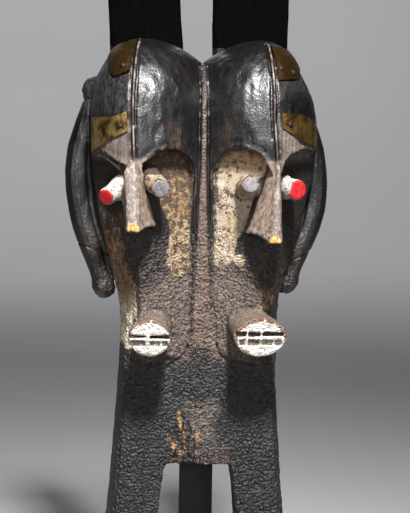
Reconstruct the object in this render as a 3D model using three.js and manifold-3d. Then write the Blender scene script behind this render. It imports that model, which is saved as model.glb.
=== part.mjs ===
// An Ijo water spirit headdress: two heads side by side, carved with their plank body from one
// block of wood, with brass sheets nailed to the foreheads, upright on a steel display stand.
// Millimetres, +Z up, the faces look along -Y. The origin is the centre of the stand's underside.
import * as THREE from 'three';
import { mergeVertices } from 'three/addons/utils/BufferGeometryUtils.js';
import Module from 'manifold-3d';

const wasm = await Module();
wasm.setup();

// Levels and depths of the carving
const feetZ = 60;
const crotchZ = 183;
const chinZ = 293;
const browZ = 470;
const domeFootZ = 462;
const browFloorZ = 450;
const faceTopZ = 503;
const shoulderZ = 530;
const crownZ = 605;
const boardTopZ = 775;
const headX = 61;
const headY = 12;
const headBackReach = 70;
const noseFrontY = -96;
const valleyX = -22;
const backY = 66;
const plankFrontY = -27;
const plankBackY = 25;

// How the heads round off, as exponents
const innerRoundness = 2.6;
const outerRoundness = 1.6;
const backRoundness = 3;

// The hollow that takes the wearer's head, a half ellipsoid open at the back
const hollow = { z: 482, halfWidth: 82, depth: 72, halfHeight: 84 };

// Profiles of level against size: [z, value], from the bottom up
const outlineProfile = [
  [290, 79], [330, 79], [355, 81], [375, 86.5], [405, 96], [445, 104], [470, 109], [494, 111.5],
];
const ridgeYProfile = [[485, -67], [515, -63], [535, -60.5], [560, -59], [crownZ, -58]];
const valleyProfile = [[290, -24], [380, -24], [browZ, -27]];
const stripProfile = [
  [290, -28.5], [350, -30], [420, -33], [445, -36.5], [462, -40], [485, -39.7], [faceTopZ, -37],
];
const innerFaceProfile = [[290, -26], [380, -26], [browZ, -27], [faceTopZ, -28]];
const keelXProfile = [[290, 57], [350, 60], [420, 66], [browZ, 68]];
const keelYProfile = [[290, -38], [350, -42], [420, -50], [browZ, -52]];
const cheekEdgeY = -4;
const stripHalf = 9;
const faceStartX = 10.5;
const plankProfile = [[feetZ, 95], [132, 90], [165, 87], [205, 84], [245, 81], [290, 79], [330, 77]];
const gapProfile = [[feetZ - 5, 45.5], [feetZ, 45], [145, 38], [crotchZ, 33]];
const bowlProfile = [
  [345, 74], [358, 80], [370, 87], [385, 94], [400, 100], [416, 105.5], [436, 109.5], [460, 112],
  [500, 112], [shoulderZ, 107], [555, 86], [574, 40],
];
const bowlDepthProfile = [[345, 23], [358, 44], [370, 60], [385, 74], [420, 84], [540, 84], [574, 60]];
const bowlFrontY = 16;
const bowlStartY = -2;
const bowlRoundness = 3;
const webHalf = 8;

// The two heads are alike but not equal, as the carver left them
const left = {
  sign: -1,
  ridge: [[browZ, 69], [shoulderZ, 71.5]],
  widening: [[405, 0]],
  nose: {
    topZ: 486, tipZ: 419, bridgeX: 71.5, tipX: 70.8, halves: [[0, 3], [0.18, 8.3], [0.55, 6.8], [1, 7]],
    innerX: 40.5, innerZ: 414, outerX: 80, scoopRise: 4,
  },
  eyes: [
    { root: [54.5, -42, 471], tip: [43.6, -80, 460.6], radius: 9.8, flare: 0.1 },
    { root: [77.3, -34, 462], tip: [97, -62, 450], radius: 9.1, flare: 0.45 },
  ],
  mouth: { root: [46, -30, 324], face: [53.4, -88, 316.3], half: [21.2, 19] },
  teeth: {
    upper: { low: -0.5, high: 2.8, depth: 4, cells: [[-21, -3], [0.7, 11], [13, 21]] },
    lower: { low: -8.4, high: -2.7, depth: 2, cells: [[-17.3, -3.7], [0.2, 10.4], [12.3, 18]] },
  },
  innerBrow: { middle: 37.5, radius: 27.5, topZ: 497, bridge: [65.5, 484], arc: 115 },
  outerBrow: [[-3, 475], [-1.9, 481.6], [41.4, 496.1], [52, 497.5], [78, 498]],
  crescent: [
    [105.7, 30, 554.5], [109, 29, 540], [118, 26, 508], [123, 24, 485], [124, 22, 466],
    [121, 20, 439], [114.5, 18, 414], [104.5, 15, 385], [97, 13, 364],
  ],
  crescentKnob: 16,
  crescentFoot: [96, 12, 358],
  board: { low: [14, 89], high: [31, 102] },
};
const right = {
  sign: 1,
  ridge: [[browZ, 71], [shoulderZ, 66.5]],
  widening: [[405, 0], [494, 3.5], [525, 3.5], [548, 0], [574, -6.5]],
  nose: {
    topZ: 486, tipZ: 409, bridgeX: 71, tipX: 66.5, halves: [[0, 2], [0.18, 2.5], [1, 7]],
    innerX: 31.5, innerZ: 406, outerX: 78, scoopRise: 8,
  },
  eyes: [
    { root: [42, -42, 460], tip: [42.5, -80, 466.2], radius: 8.9, flare: 0.35 },
    { root: [78.2, -34, 461.5], tip: [90.2, -64, 460], radius: 10.6, flare: 0.1 },
  ],
  mouth: { root: [46.5, -30, 326], face: [55, -88, 318.3], half: [26.6, 20.4] },
  teeth: {
    upper: { low: 0.8, high: 4.5, depth: 4, cells: [[-25, -14.7], [-11.8, -0.3], [1.9, 22.6]] },
    lower: {
      low: -8.5, high: -2.7, depth: 2,
      cells: [[-21, -15.4], [-12.2, -0.7], [1.5, 12.7], [14.5, 21.5]],
    },
  },
  innerBrow: { middle: 39, radius: 29, topZ: 499, bridge: [68, 474], arc: 165 },
  outerBrow: [[-4.5, 474], [-3.5, 481], [-1, 488], [6, 493], [14, 496], [30, 499], [60, 498], [78, 498]],
  crescent: [
    [94, 30, 552], [99, 29, 535], [109, 26, 512], [114.5, 24, 490], [117, 22, 468],
    [115, 20, 434], [108, 18, 411], [96, 15, 384], [91.5, 13, 368],
  ],
  crescentKnob: 15,
  crescentFoot: [90.5, 12, 365],
  board: { low: [14, 88], high: [9, 91] },
};
const heads = [left, right];

// Sheets of brass on a head: v runs from the ridge (0) to the side (1) of the forehead,
// edges are [v, lower z, upper z], and nails are [v, z]
const sheetGap = 0.6;
const sheetThickness = 1.1;
const sheets = [
  {
    name: 'top_left', head: left,
    edge: [[0.13, 573, 600], [0.44, 566, 600], [0.67, 580, 599], [0.95, 590, 597]],
    nails: [[0.28, 577]],
  },
  {
    name: 'brow_left', head: left,
    edge: [[0.13, 515, 534], [0.22, 512, 531], [0.39, 507, 528], [0.78, 492, 526]],
    nails: [[0.25, 519.5]],
  },
  {
    name: 'top_right', head: right,
    edge: [[0.13, 566, 598], [0.54, 567, 597], [0.95, 580, 594]],
    nails: [[0.22, 577], [0.49, 573]],
  },
  {
    name: 'brow_right', head: right,
    edge: [[0.13, 520, 534], [0.45, 507, 533], [0.66, 501, 526], [0.77, 496, 511]],
    nails: [[0.25, 523.5]],
  },
];
const nail = { shank: 1.4, hole: 1.8, length: 9, head: 3.1, dome: 1.5 };

// The display stand
const stand = {
  width: 230, depth: 190, plate: 16, bevel: 2,
  postX: 5, postWidth: 34, postFrontY: 70, postThickness: 12, topZ: 552,
  arm: { width: 22, lowZ: 540, highZ: 552, tipFrontY: 44, tipBackY: 52, tipZ: 559.5 },
  spacer: { width: 20, lowZ: 222, highZ: 238 },
};
const touchGap = 0.3;

const upward = new THREE.Vector3(0, 0, 1);
const rightward = new THREE.Vector3(1, 0, 0);

// A value read off a profile of [position, value] pairs, straight between its points
function along(profile, position) {
  if (position <= profile[0][0]) {
    return profile[0][1];
  }
  for (let i = 1; i < profile.length; i += 1) {
    const [from, low] = profile[i - 1];
    const [to, high] = profile[i];
    if (position <= to) {
      return THREE.MathUtils.mapLinear(position, from, to, low, high);
    }
  }
  return profile[profile.length - 1][1];
}

// Triangles that close a ring of points, taken from its outline along its thinnest direction
function capFaces(ring) {
  const normal = new THREE.Vector3();
  ring.forEach((point, i) => {
    const next = ring[(i + 1) % ring.length];
    normal.x += (point.y - next.y) * (point.z + next.z);
    normal.y += (point.z - next.z) * (point.x + next.x);
    normal.z += (point.x - next.x) * (point.y + next.y);
  });
  const turn = new THREE.Quaternion();
  turn.setFromUnitVectors(normal.normalize(), new THREE.Vector3(0, 0, 1));
  const flat = ring.map((point) => {
    const turned = point.clone().applyQuaternion(turn);
    return new THREE.Vector2(turned.x, turned.y);
  });
  return THREE.ShapeUtils.triangulateShape(flat, []);
}

// A closed solid through rings of points, each with the same count, and a tip where one is given
function loft(rings, startTip = null, endTip = null) {
  const count = rings[0].length;
  const points = rings.flat();
  const faces = [];
  for (let ring = 0; ring + 1 < rings.length; ring += 1) {
    for (let i = 0; i < count; i += 1) {
      const here = ring * count + i;
      const next = ring * count + ((i + 1) % count);
      faces.push([here, next, next + count]);
      faces.push([here, next + count, here + count]);
    }
  }
  const lastRing = (rings.length - 1) * count;
  if (startTip) {
    points.push(startTip);
    for (let i = 0; i < count; i += 1) {
      faces.push([points.length - 1, (i + 1) % count, i]);
    }
  } else {
    capFaces(rings[0]).forEach(([a, b, c]) => faces.push([c, b, a]));
  }
  if (endTip) {
    points.push(endTip);
    for (let i = 0; i < count; i += 1) {
      faces.push([points.length - 1, lastRing + i, lastRing + ((i + 1) % count)]);
    }
  } else {
    const last = rings[rings.length - 1];
    capFaces(last).forEach(([a, b, c]) => faces.push([lastRing + a, lastRing + b, lastRing + c]));
  }
  return solidFrom(points, faces);
}

// The solid of a closed set of faces, turned outward if they came out inward
function solidFrom(points, faces) {
  let volume = 0;
  faces.forEach(([a, b, c]) => {
    volume += points[a].dot(new THREE.Vector3().crossVectors(points[b], points[c]));
  });
  const outward = volume > 0 ? faces : faces.map(([a, b, c]) => [a, c, b]);
  const geometry = new THREE.BufferGeometry().setFromPoints(points);
  geometry.setIndex(outward.flat());
  return solidOf(geometry);
}

function solidOf(geometry) {
  geometry.deleteAttribute('normal');
  geometry.deleteAttribute('uv');
  const merged = mergeVertices(geometry, 1e-4);
  const mesh = new wasm.Mesh({
    numProp: 3,
    vertProperties: new Float32Array(merged.attributes.position.array),
    triVerts: new Uint32Array(merged.index.array),
  });
  return new wasm.Manifold(mesh);
}

function geometryOf(solid) {
  const mesh = solid.getMesh();
  const geometry = new THREE.BufferGeometry();
  geometry.setAttribute('position', new THREE.BufferAttribute(mesh.vertProperties, 3));
  geometry.setIndex(new THREE.BufferAttribute(mesh.triVerts, 1));
  geometry.computeVertexNormals();
  return geometry;
}

function joined(solids) {
  return solids.reduce((whole, solid) => whole.add(solid));
}

function box(lowX, highX, lowY, highY, lowZ, highZ) {
  const geometry = new THREE.BoxGeometry(highX - lowX, highY - lowY, highZ - lowZ);
  geometry.translate((lowX + highX) / 2, (lowY + highY) / 2, (lowZ + highZ) / 2);
  return solidOf(geometry);
}

// A ring of points round an axis: halfWidth to the side, square to the reference, and halfHeight up
function ovalRing(centre, direction, halfWidth, halfHeight, count, reference = upward) {
  const side = reference.clone().cross(direction).normalize();
  const up = new THREE.Vector3().crossVectors(direction, side).normalize();
  return Array.from({ length: count }, (_, i) => {
    const angle = (i / count) * 2 * Math.PI;
    return centre.clone()
      .addScaledVector(side, Math.cos(angle) * halfWidth)
      .addScaledVector(up, Math.sin(angle) * halfHeight);
  });
}

function outlineX(head, z) {
  return along(outlineProfile, z) + along(head.widening, z);
}

// How far a dome has closed in at a level, 1 below the shoulder and 0 at the crown
function domeScale(z) {
  const rise = THREE.MathUtils.clamp((z - shoulderZ) / (crownZ - shoulderZ), 0, 1);
  return Math.sqrt(1 - rise * rise);
}

// A point of a head's level section, drawn in towards its middle by the dome
function headPoint(head, x, y, z) {
  const scale = domeScale(z);
  const reach = Math.min(headY + (y - headY) * scale, backY);
  return new THREE.Vector3(head.sign * (headX + (x - headX) * scale), reach, z);
}

// The foreheads lean back a little. Each is nearly flat beside its ridge, and rolls off towards the valley
function innerForehead(head, turn, z) {
  const ridgeX = along(head.ridge, z);
  const reach = Math.cos(turn) ** 1.3;
  const y = headY + (along(ridgeYProfile, z) - headY) * (1 - reach ** innerRoundness);
  return headPoint(head, ridgeX - (ridgeX - valleyX) * reach, y, z);
}

function outerForehead(head, turn, z) {
  const ridgeX = along(head.ridge, z);
  const x = ridgeX + (outlineX(head, z) - ridgeX) * Math.sin(turn) ** (2 / outerRoundness);
  const y = cheekEdgeY + (along(ridgeYProfile, z) - cheekEdgeY) * Math.cos(turn) ** (2 / outerRoundness);
  return headPoint(head, x, y, z);
}

function headBack(head, turn, z) {
  const reach = turn < Math.PI / 2 ? outlineX(head, z) - headX : headX - valleyX;
  const x = headX + reach * Math.sign(Math.cos(turn)) * Math.abs(Math.cos(turn)) ** (2 / backRoundness);
  const y = headY + headBackReach * Math.sin(turn) ** (2 / backRoundness);
  return headPoint(head, x, y, z);
}

function headRing(head, z) {
  const parts = [
    { shape: innerForehead, steps: 10, arc: Math.PI / 2 },
    { shape: outerForehead, steps: 8, arc: Math.PI / 2 },
    { shape: headBack, steps: 7, arc: Math.PI },
  ];
  return parts.flatMap(({ shape, steps, arc }) => {
    return Array.from({ length: steps }, (_, i) => shape(head, (i / steps) * arc, z));
  });
}

function dome(head) {
  const levels = [domeFootZ, 500, shoulderZ];
  for (const angle of [14, 27, 39, 50, 60, 69, 77, 84]) {
    levels.push(shoulderZ + (crownZ - shoulderZ) * Math.sin(THREE.MathUtils.degToRad(angle)));
  }
  const crown = new THREE.Vector3(head.sign * headX, headY, crownZ);
  return loft(levels.map((z) => headRing(head, z)), null, crown);
}

// The face planes of both heads at a level, from the strip between them to the cheeks
function faceSide(head, z) {
  const keelX = along(keelXProfile, z);
  return [
    [stripHalf, along(stripProfile, z)],
    [faceStartX, along(innerFaceProfile, z)],
    [keelX, along(keelYProfile, z)],
    [outlineX(head, z), cheekEdgeY],
    [outlineX(head, z) - 3, plankBackY - 3],
  ].map(([x, y]) => new THREE.Vector3(head.sign * x, y, z));
}

// The chins end lower under the mouths than beside the rib
function chinLevel(x) {
  return chinZ + 4 - THREE.MathUtils.clamp(Math.abs(x) - stripHalf, 0, 22) * 0.65;
}

function faceBlock() {
  const levels = [faceTopZ, 485, browZ, 462, 445, 420, 400, 375, 352, 330, 310];
  const rings = levels.map((z) => [
    new THREE.Vector3(0, along(valleyProfile, z), z),
    ...faceSide(right, z),
    ...faceSide(left, z).reverse(),
  ]);
  const chin = rings[rings.length - 1].map((point) => {
    const z = point.y > cheekEdgeY ? chinZ : chinLevel(point.x);
    return new THREE.Vector3(point.x, point.y, z);
  });
  return loft([...rings, chin]);
}

// The direction out of a face plane and a frame along it: s runs from the keel outward
function outerPlane(head) {
  const keel = new THREE.Vector2(along(keelXProfile, browZ), along(keelYProfile, browZ));
  const edge = new THREE.Vector2(outlineX(head, browZ), cheekEdgeY);
  const run = edge.clone().sub(keel).normalize();
  return { origin: keel, run, out: new THREE.Vector2(run.y, -run.x) };
}

function innerPlane() {
  const edge = new THREE.Vector2(faceStartX, along(innerFaceProfile, browZ));
  const keel = new THREE.Vector2(along(keelXProfile, browZ), along(keelYProfile, browZ));
  const run = keel.clone().sub(edge).normalize();
  return { origin: new THREE.Vector2(0, edge.y), run, out: new THREE.Vector2(run.y, -run.x) };
}

// A cutter that clears a brow arch: its outline in [s, z] swept out of a face plane
function browCutter(head, plane, outline) {
  const rings = [-6, 60].map((depth) => outline.map(([s, z]) => {
    const place = plane.origin.clone().addScaledVector(plane.run, s).addScaledVector(plane.out, depth);
    return new THREE.Vector3(head.sign * place.x, place.y, z);
  }));
  return loft(rings);
}

function innerBrow(head) {
  const plane = innerPlane();
  const slope = plane.run.x;
  const { middle, radius, topZ, bridge, arc } = head.innerBrow;
  const outline = [[middle - radius, browFloorZ]];
  const steps = 11;
  for (let i = 0; i <= steps; i += 1) {
    const angle = THREE.MathUtils.degToRad(180 - (i / steps) * arc);
    outline.push([middle + radius * Math.cos(angle), topZ - radius + radius * Math.sin(angle)]);
  }
  outline.push(bridge, [bridge[0], browFloorZ]);
  return browCutter(head, plane, outline.map(([x, z]) => [x / slope, z]));
}

function outerBrow(head) {
  const first = head.outerBrow[0][0];
  const last = head.outerBrow[head.outerBrow.length - 1][0];
  const floor = [[last, browFloorZ], [first, browFloorZ]];
  return browCutter(head, outerPlane(head), [...head.outerBrow, ...floor]);
}

// The wedge nose, narrow at the bridge and broad below, with a flat front edge
function nose(head) {
  const { topZ, tipZ, bridgeX, tipX, halves, innerX, innerZ, outerX } = head.nose;
  const steps = 6;
  const rings = [];
  for (let i = 0; i <= steps; i += 1) {
    const down = i / steps;
    const innerDown = down ** 1.1;
    const z = THREE.MathUtils.lerp(topZ, tipZ, down);
    const front = THREE.MathUtils.lerp(along(ridgeYProfile, topZ), noseFrontY, down);
    const middle = THREE.MathUtils.lerp(bridgeX, tipX, down);
    const half = along(halves, down);
    const inner = THREE.MathUtils.lerp(bridgeX - 5, innerX, innerDown);
    const outer = THREE.MathUtils.lerp(bridgeX + 4, outerX, down);
    const keelX = along(keelXProfile, z);
    const keelY = along(keelYProfile, z);
    const startY = along(innerFaceProfile, z);
    const innerY = THREE.MathUtils.mapLinear(inner, faceStartX, keelX, startY, keelY);
    const outerY = THREE.MathUtils.mapLinear(outer, keelX, outlineX(head, z), keelY, cheekEdgeY);
    const flank = [inner + (middle - half - inner) * 0.4, innerY + (front - innerY) * 0.55];
    rings.push([
      [inner - 1, innerY + 3],
      flank,
      [middle - half, front + 1],
      [middle - half * 0.4, front - 0.8],
      [middle + half * 0.4, front - 0.8],
      [middle + half, front + 1],
      [(outer + middle + half) / 2, (outerY + front) / 2],
      [outer + 1, outerY + 3],
      [keelX, keelY + 8],
    ].map(([x, y]) => new THREE.Vector3(head.sign * x, y, z + (innerZ - tipZ) * down * (y > -60))));
  }
  return loft(rings);
}

// The rounded hollow under each nostril wing, run forward under the nose
function nostrilCutters(head) {
  const { tipZ, tipX, innerX, outerX, scoopRise } = head.nose;
  const wings = [
    { from: innerX + 1, to: tipX - 6, rise: scoopRise },
    { from: tipX + 6, to: outerX + 2, rise: scoopRise * 0.5 },
  ];
  return wings.map(({ from, to, rise }) => {
    const half = (to - from) / 2;
    const radius = (half * half + rise * rise) / (2 * rise);
    const middle = new THREE.Vector3(head.sign * (from + to) / 2, -90, tipZ + rise - radius);
    const direction = new THREE.Vector3(0, 1, 0);
    const rings = [-20, 60].map((depth) => {
      const centre = middle.clone().addScaledVector(direction, depth);
      return ovalRing(centre, direction, radius, radius, 20);
    });
    return loft(rings);
  });
}

// A peg eye, flaring at its root where it grows out of the face, with a rounded end
function eye(head, { root, tip, radius, flare }) {
  const start = new THREE.Vector3(head.sign * root[0], root[1], root[2]);
  const end = new THREE.Vector3(head.sign * tip[0], tip[1], tip[2]);
  const direction = end.clone().sub(start).normalize();
  const shape = [
    [0, 1.05 + flare], [0.3, 1.03 + flare * 0.5], [0.6, 1.02 + flare * 0.1], [0.95, 1], [1, 0.9],
  ];
  const rings = shape.map(([part, size]) => {
    return ovalRing(start.clone().lerp(end, part), direction, radius * size, radius * size, 16);
  });
  return loft(rings, null, end.clone().addScaledVector(direction, 0.8));
}

// The drum of a mouth and the frame its teeth are cut in
function mouthFrame(head) {
  const { root, face } = head.mouth;
  const start = new THREE.Vector3(head.sign * root[0], root[1], root[2]);
  const end = new THREE.Vector3(head.sign * face[0], face[1], face[2]);
  const direction = end.clone().sub(start).normalize();
  const across = new THREE.Vector3(0, 0, 1).cross(direction).normalize();
  if (across.x < 0) {
    across.negate();
  }
  const up = new THREE.Vector3().crossVectors(direction, across).normalize();
  if (up.z < 0) {
    up.negate();
  }
  return { start, end, direction, across, up };
}

function mouth(head) {
  const { start, end, direction } = mouthFrame(head);
  const [halfWidth, halfHeight] = head.mouth.half;
  const shape = [[0, 0.8], [0.35, 0.86], [0.7, 0.95], [0.94, 1], [1, 0.94]];
  const rings = shape.map(([part, size]) => {
    const centre = start.clone().lerp(end, part);
    return ovalRing(centre, direction, halfWidth * size, halfHeight * size, 24);
  });
  return loft(rings, null, end.clone().addScaledVector(direction, 1.5));
}

// The dark gaps between the teeth, in two rows
function teethCutters(head) {
  const { end, direction, across, up } = mouthFrame(head);
  return Object.values(head.teeth).flatMap(({ low, high, depth, cells }) => cells.map(([from, to]) => {
    const corners = [[from, low], [to, low], [to, high], [from, high]];
    const rings = [-depth, 6].map((out) => corners.map(([side, rise]) => end.clone()
      .addScaledVector(across, side)
      .addScaledVector(up, rise)
      .addScaledVector(direction, out)));
    return loft(rings);
  }));
}

// Where the two heads meet at a level: the depth of the valley between them
function valleyY(z) {
  if (z <= browZ) {
    return along(valleyProfile, z);
  }
  const scale = domeScale(z);
  const ridgeX = along(left.ridge, z);
  const x = headX - headX / scale;
  const reach = THREE.MathUtils.clamp((ridgeX - x) / (ridgeX - valleyX), 0, 1);
  return headY + (along(ridgeYProfile, z) - headY) * (1 - reach ** innerRoundness) * scale;
}

function valleyRib() {
  const levels = [580, 574, 566, 556, 545, 530, 500, 450, 410, 370, 340, 315, 290];
  const rings = levels.map((z) => {
    const half = along([[300, 12], [340, 9.5], [410, 5.5], [480, 3.5]], z);
    const height = along([[290, 3], [400, 4.5], [450, 7], [browZ, 9], [530, 8], [560, 6], [580, 3]], z);
    const base = valleyY(z);
    const middle = along([[290, 2.5], [400, 0.5], [browZ, 0]], z);
    const section = [[-1.2, 4], [-0.95, -0.35], [-0.5, -1], [0.5, -1], [0.95, -0.35], [1.2, 4]];
    return section.map(([x, out]) => {
      const y = out > 0 ? base + out : base + out * height;
      return new THREE.Vector3(middle + x * half, y, z);
    });
  });
  return loft(rings);
}

// The thin rib down the middle of a forehead
function foreheadRib(head) {
  const levels = [478, 500, 515, 530, 545, 560, 574, 586, 595, 601];
  const rings = levels.map((z) => {
    const ridge = innerForehead(head, Math.PI / 2, z);
    const scale = domeScale(z);
    const lift = Math.sqrt(1 - scale * scale);
    const out = new THREE.Vector3(0, -scale, lift);
    const section = [[-2.6, -3], [-1.7, 1.4], [0, 2.4], [1.7, 1.4], [2.6, -3]];
    return section.map(([x, height]) => {
      const point = ridge.clone().addScaledVector(out, height);
      point.x += head.sign * x;
      return point;
    });
  });
  return loft(rings);
}

// The helmet behind the faces, flat at the back where its hollow opens
function helmetBack() {
  const levels = [345, 352, 358, 364, 370, 378, 390, 405, 425, browZ, 500, 530, 545, 555, 565, 574];
  const rings = levels.map((z) => {
    const depth = along(bowlDepthProfile, z);
    const middle = Math.min(bowlFrontY, depth - 4);
    const half = along(bowlProfile, z);
    const ring = [new THREE.Vector3(half - 12, bowlStartY, z)];
    const steps = 12;
    for (let i = 0; i <= steps; i += 1) {
      const turn = (i / steps) * Math.PI;
      const side = Math.sign(Math.cos(turn)) * Math.abs(Math.cos(turn)) ** (2 / bowlRoundness);
      const back = middle + (depth - middle) * Math.sin(turn) ** (2 / bowlRoundness);
      ring.push(new THREE.Vector3(half * side, Math.min(back, backY), z));
    }
    ring.push(new THREE.Vector3(12 - half, bowlStartY, z));
    return ring;
  });
  return loft(rings);
}

function hollowCutter() {
  const geometry = new THREE.SphereGeometry(1, 28, 16);
  geometry.rotateX(Math.PI / 2);
  geometry.scale(hollow.halfWidth, hollow.depth, hollow.halfHeight);
  geometry.translate(0, backY, hollow.z);
  return solidOf(geometry);
}

function plank() {
  const edge = 4;
  const rings = plankProfile.map(([z, half]) => [
    [half - edge - 5, plankFrontY],
    [half - edge, plankFrontY + edge],
    [half, plankBackY - edge],
    [half - edge, plankBackY],
    [edge - half, plankBackY],
    [-half, plankBackY - edge],
    [edge - half, plankFrontY + edge],
    [edge + 5 - half, plankFrontY],
  ].map(([x, y]) => new THREE.Vector3(x, y, z)));
  return loft(rings);
}

function legGapCutter() {
  const rings = gapProfile.map(([z, half]) => [
    [-half, plankFrontY - 10], [half, plankFrontY - 10], [half, plankBackY + 10], [-half, plankBackY + 10],
  ].map(([x, y]) => new THREE.Vector3(x, y, z)));
  return loft(rings);
}

// An upright board behind a head, plain and rounded off at the top
function board(head) {
  const { low, high } = head.board;
  const lowZ = 556;
  const rounding = [[0, 0], [0.93, 0], [0.97, 4], [0.99, 9], [1, 17]];
  const rings = rounding.map(([part, inset]) => {
    const z = THREE.MathUtils.lerp(lowZ, boardTopZ, part);
    const inner = THREE.MathUtils.lerp(low[0], high[0], part) + inset;
    const outer = THREE.MathUtils.lerp(low[1], high[1], part) - inset;
    return [
      [inner, 45], [inner + 3, 42], [outer - 3, 42], [outer, 45],
      [outer, 63], [outer - 3, backY], [inner + 3, backY], [inner, 63],
    ].map(([x, y]) => new THREE.Vector3(head.sign * x, y, z));
  });
  return loft(rings);
}

// The crescent at the side of a head, with a knob at its top and a rounded foot
function crescent(head) {
  const points = head.crescent.map(([x, y, z]) => new THREE.Vector3(head.sign * x, y, z));
  const curve = new THREE.CatmullRomCurve3(points, false, 'centripetal');
  const steps = 16;
  const rings = [];
  for (let i = 0; i <= steps; i += 1) {
    const part = i / steps;
    const size = along([[0, 9], [0.08, 11], [0.3, 12.5], [0.7, 12.5], [0.9, 11], [1, 10]], part);
    rings.push(ovalRing(curve.getPointAt(part), curve.getTangentAt(part), 15, size, 12, rightward));
  }
  const top = new THREE.SphereGeometry(head.crescentKnob, 14, 9);
  const [topX, topY, topZ] = head.crescent[0];
  top.translate(head.sign * (topX - 1), topY, topZ - 3);
  const foot = new THREE.SphereGeometry(1, 14, 9);
  foot.scale(12, 14, 15);
  foot.rotateY(head.sign * THREE.MathUtils.degToRad(20));
  const [footX, footY, footZ] = head.crescentFoot;
  foot.translate(head.sign * footX, footY, footZ);
  return joined([loft(rings), crescentWeb(head, curve), solidOf(top), solidOf(foot)]);
}

// The wood left standing between a crescent and the head
function crescentWeb(head, curve) {
  const rings = [];
  const steps = 8;
  for (let i = 0; i <= steps; i += 1) {
    const { x, y, z } = curve.getPointAt(THREE.MathUtils.lerp(0.08, 1, i / steps));
    const inner = head.sign * (outlineX(head, z) - 18);
    rings.push([
      new THREE.Vector3(x, y - webHalf, z),
      new THREE.Vector3(x, y + webHalf, z),
      new THREE.Vector3(inner, y + webHalf, z),
      new THREE.Vector3(inner, y - webHalf, z),
    ]);
  }
  return loft(rings);
}

// A place on a sheet's part of the forehead, raised off the wood
function sheetPoint(head, v, z, height) {
  const turn = (v * Math.PI) / 2;
  const here = outerForehead(head, turn, z);
  const acrossStep = outerForehead(head, turn + 0.02, z).sub(outerForehead(head, turn - 0.02, z));
  const upStep = outerForehead(head, turn, z + 0.5).sub(outerForehead(head, turn, z - 0.5));
  const out = acrossStep.cross(upStep).normalize();
  if (out.dot(new THREE.Vector3(head.sign, -1, 0.2)) < 0) {
    out.negate();
  }
  return here.addScaledVector(out, height);
}

function sheetSolid({ head, edge }) {
  const columns = 9;
  const rows = 4;
  const lows = edge.map(([v, low]) => [v, low]);
  const highs = edge.map(([v, , high]) => [v, high]);
  const first = edge[0][0];
  const last = edge[edge.length - 1][0];
  const rings = [];
  for (let i = 0; i <= columns; i += 1) {
    const v = THREE.MathUtils.lerp(first, last, i / columns);
    const inner = [];
    const outer = [];
    for (let j = 0; j <= rows; j += 1) {
      const z = THREE.MathUtils.lerp(along(lows, v), along(highs, v), j / rows);
      inner.push(sheetPoint(head, v, z, sheetGap));
      outer.push(sheetPoint(head, v, z, sheetGap + sheetThickness));
    }
    rings.push([...inner, ...outer.reverse()]);
  }
  return loft(rings);
}

// A nail stands along the forehead's outward direction
function nailLine(head, v, z) {
  const foot = sheetPoint(head, v, z, 0);
  return { foot, out: sheetPoint(head, v, z, 1).sub(foot).normalize() };
}

function nailShape({ foot, out }, shape) {
  const rings = shape.map(([height, radius]) => {
    return ovalRing(foot.clone().addScaledVector(out, height), out, radius, radius, 8);
  });
  return loft(rings);
}

function nailSolid(line) {
  const headLow = sheetGap + sheetThickness + touchGap;
  return nailShape(line, [
    [-nail.length, 0.4],
    [-nail.length + 3, nail.shank],
    [headLow, nail.shank],
    [headLow + 0.01, nail.head],
    [headLow + nail.dome * 0.6, nail.head * 0.8],
    [headLow + nail.dome, nail.head * 0.4],
  ]);
}

function nailHole(line) {
  return nailShape(line, [[-nail.length - 1, nail.hole], [6, nail.hole]]);
}

const sheetNails = sheets.map((sheet) => sheet.nails.map(([v, z]) => nailLine(sheet.head, v, z)));

function maskBody() {
  let body = joined(heads.map(dome));
  for (const head of heads) {
    body = body.subtract(innerBrow(head)).subtract(outerBrow(head));
  }
  body = body.add(faceBlock()).add(valleyRib());
  for (const head of heads) {
    const wedge = nostrilCutters(head).reduce((rest, cutter) => rest.subtract(cutter), nose(head));
    body = body.add(wedge).add(foreheadRib(head));
    body = body.add(eye(head, head.eyes[0])).add(eye(head, head.eyes[1]));
    body = body.add(crescent(head)).add(board(head));
    const drum = teethCutters(head).reduce((rest, cutter) => rest.subtract(cutter), mouth(head));
    body = body.add(drum);
  }
  body = body.add(helmetBack()).add(plank());
  body = body.subtract(hollowCutter()).subtract(legGapCutter());
  return sheetNails.flat().reduce((rest, line) => rest.subtract(nailHole(line)), body);
}

// The foot plate, bevelled along its upper edges
function standBase() {
  const { width, depth, plate, bevel } = stand;
  const rings = [[0, 0], [plate - bevel, 0], [plate, bevel]].map(([z, inset]) => [
    [-1, -1], [1, -1], [1, 1], [-1, 1],
  ].map(([x, y]) => new THREE.Vector3(x * (width / 2 - inset), y * (depth / 2 - inset), z)));
  return loft(rings);
}

function standPost() {
  const { postX, postWidth, postFrontY, postThickness, topZ, arm, spacer, plate } = stand;
  const armLow = postX - arm.width / 2;
  const armHigh = postX + arm.width / 2;
  return joined([
    box(
      postX - postWidth / 2, postX + postWidth / 2,
      postFrontY, postFrontY + postThickness, plate + touchGap, topZ,
    ),
    box(armLow, armHigh, arm.tipFrontY, postFrontY + 1, arm.lowZ, arm.highZ),
    box(armLow, armHigh, arm.tipFrontY, arm.tipBackY, arm.lowZ, arm.tipZ),
    box(
      postX - spacer.width / 2, postX + spacer.width / 2,
      plankBackY + touchGap, postFrontY + 1, spacer.lowZ, spacer.highZ,
    ),
  ]);
}

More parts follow.
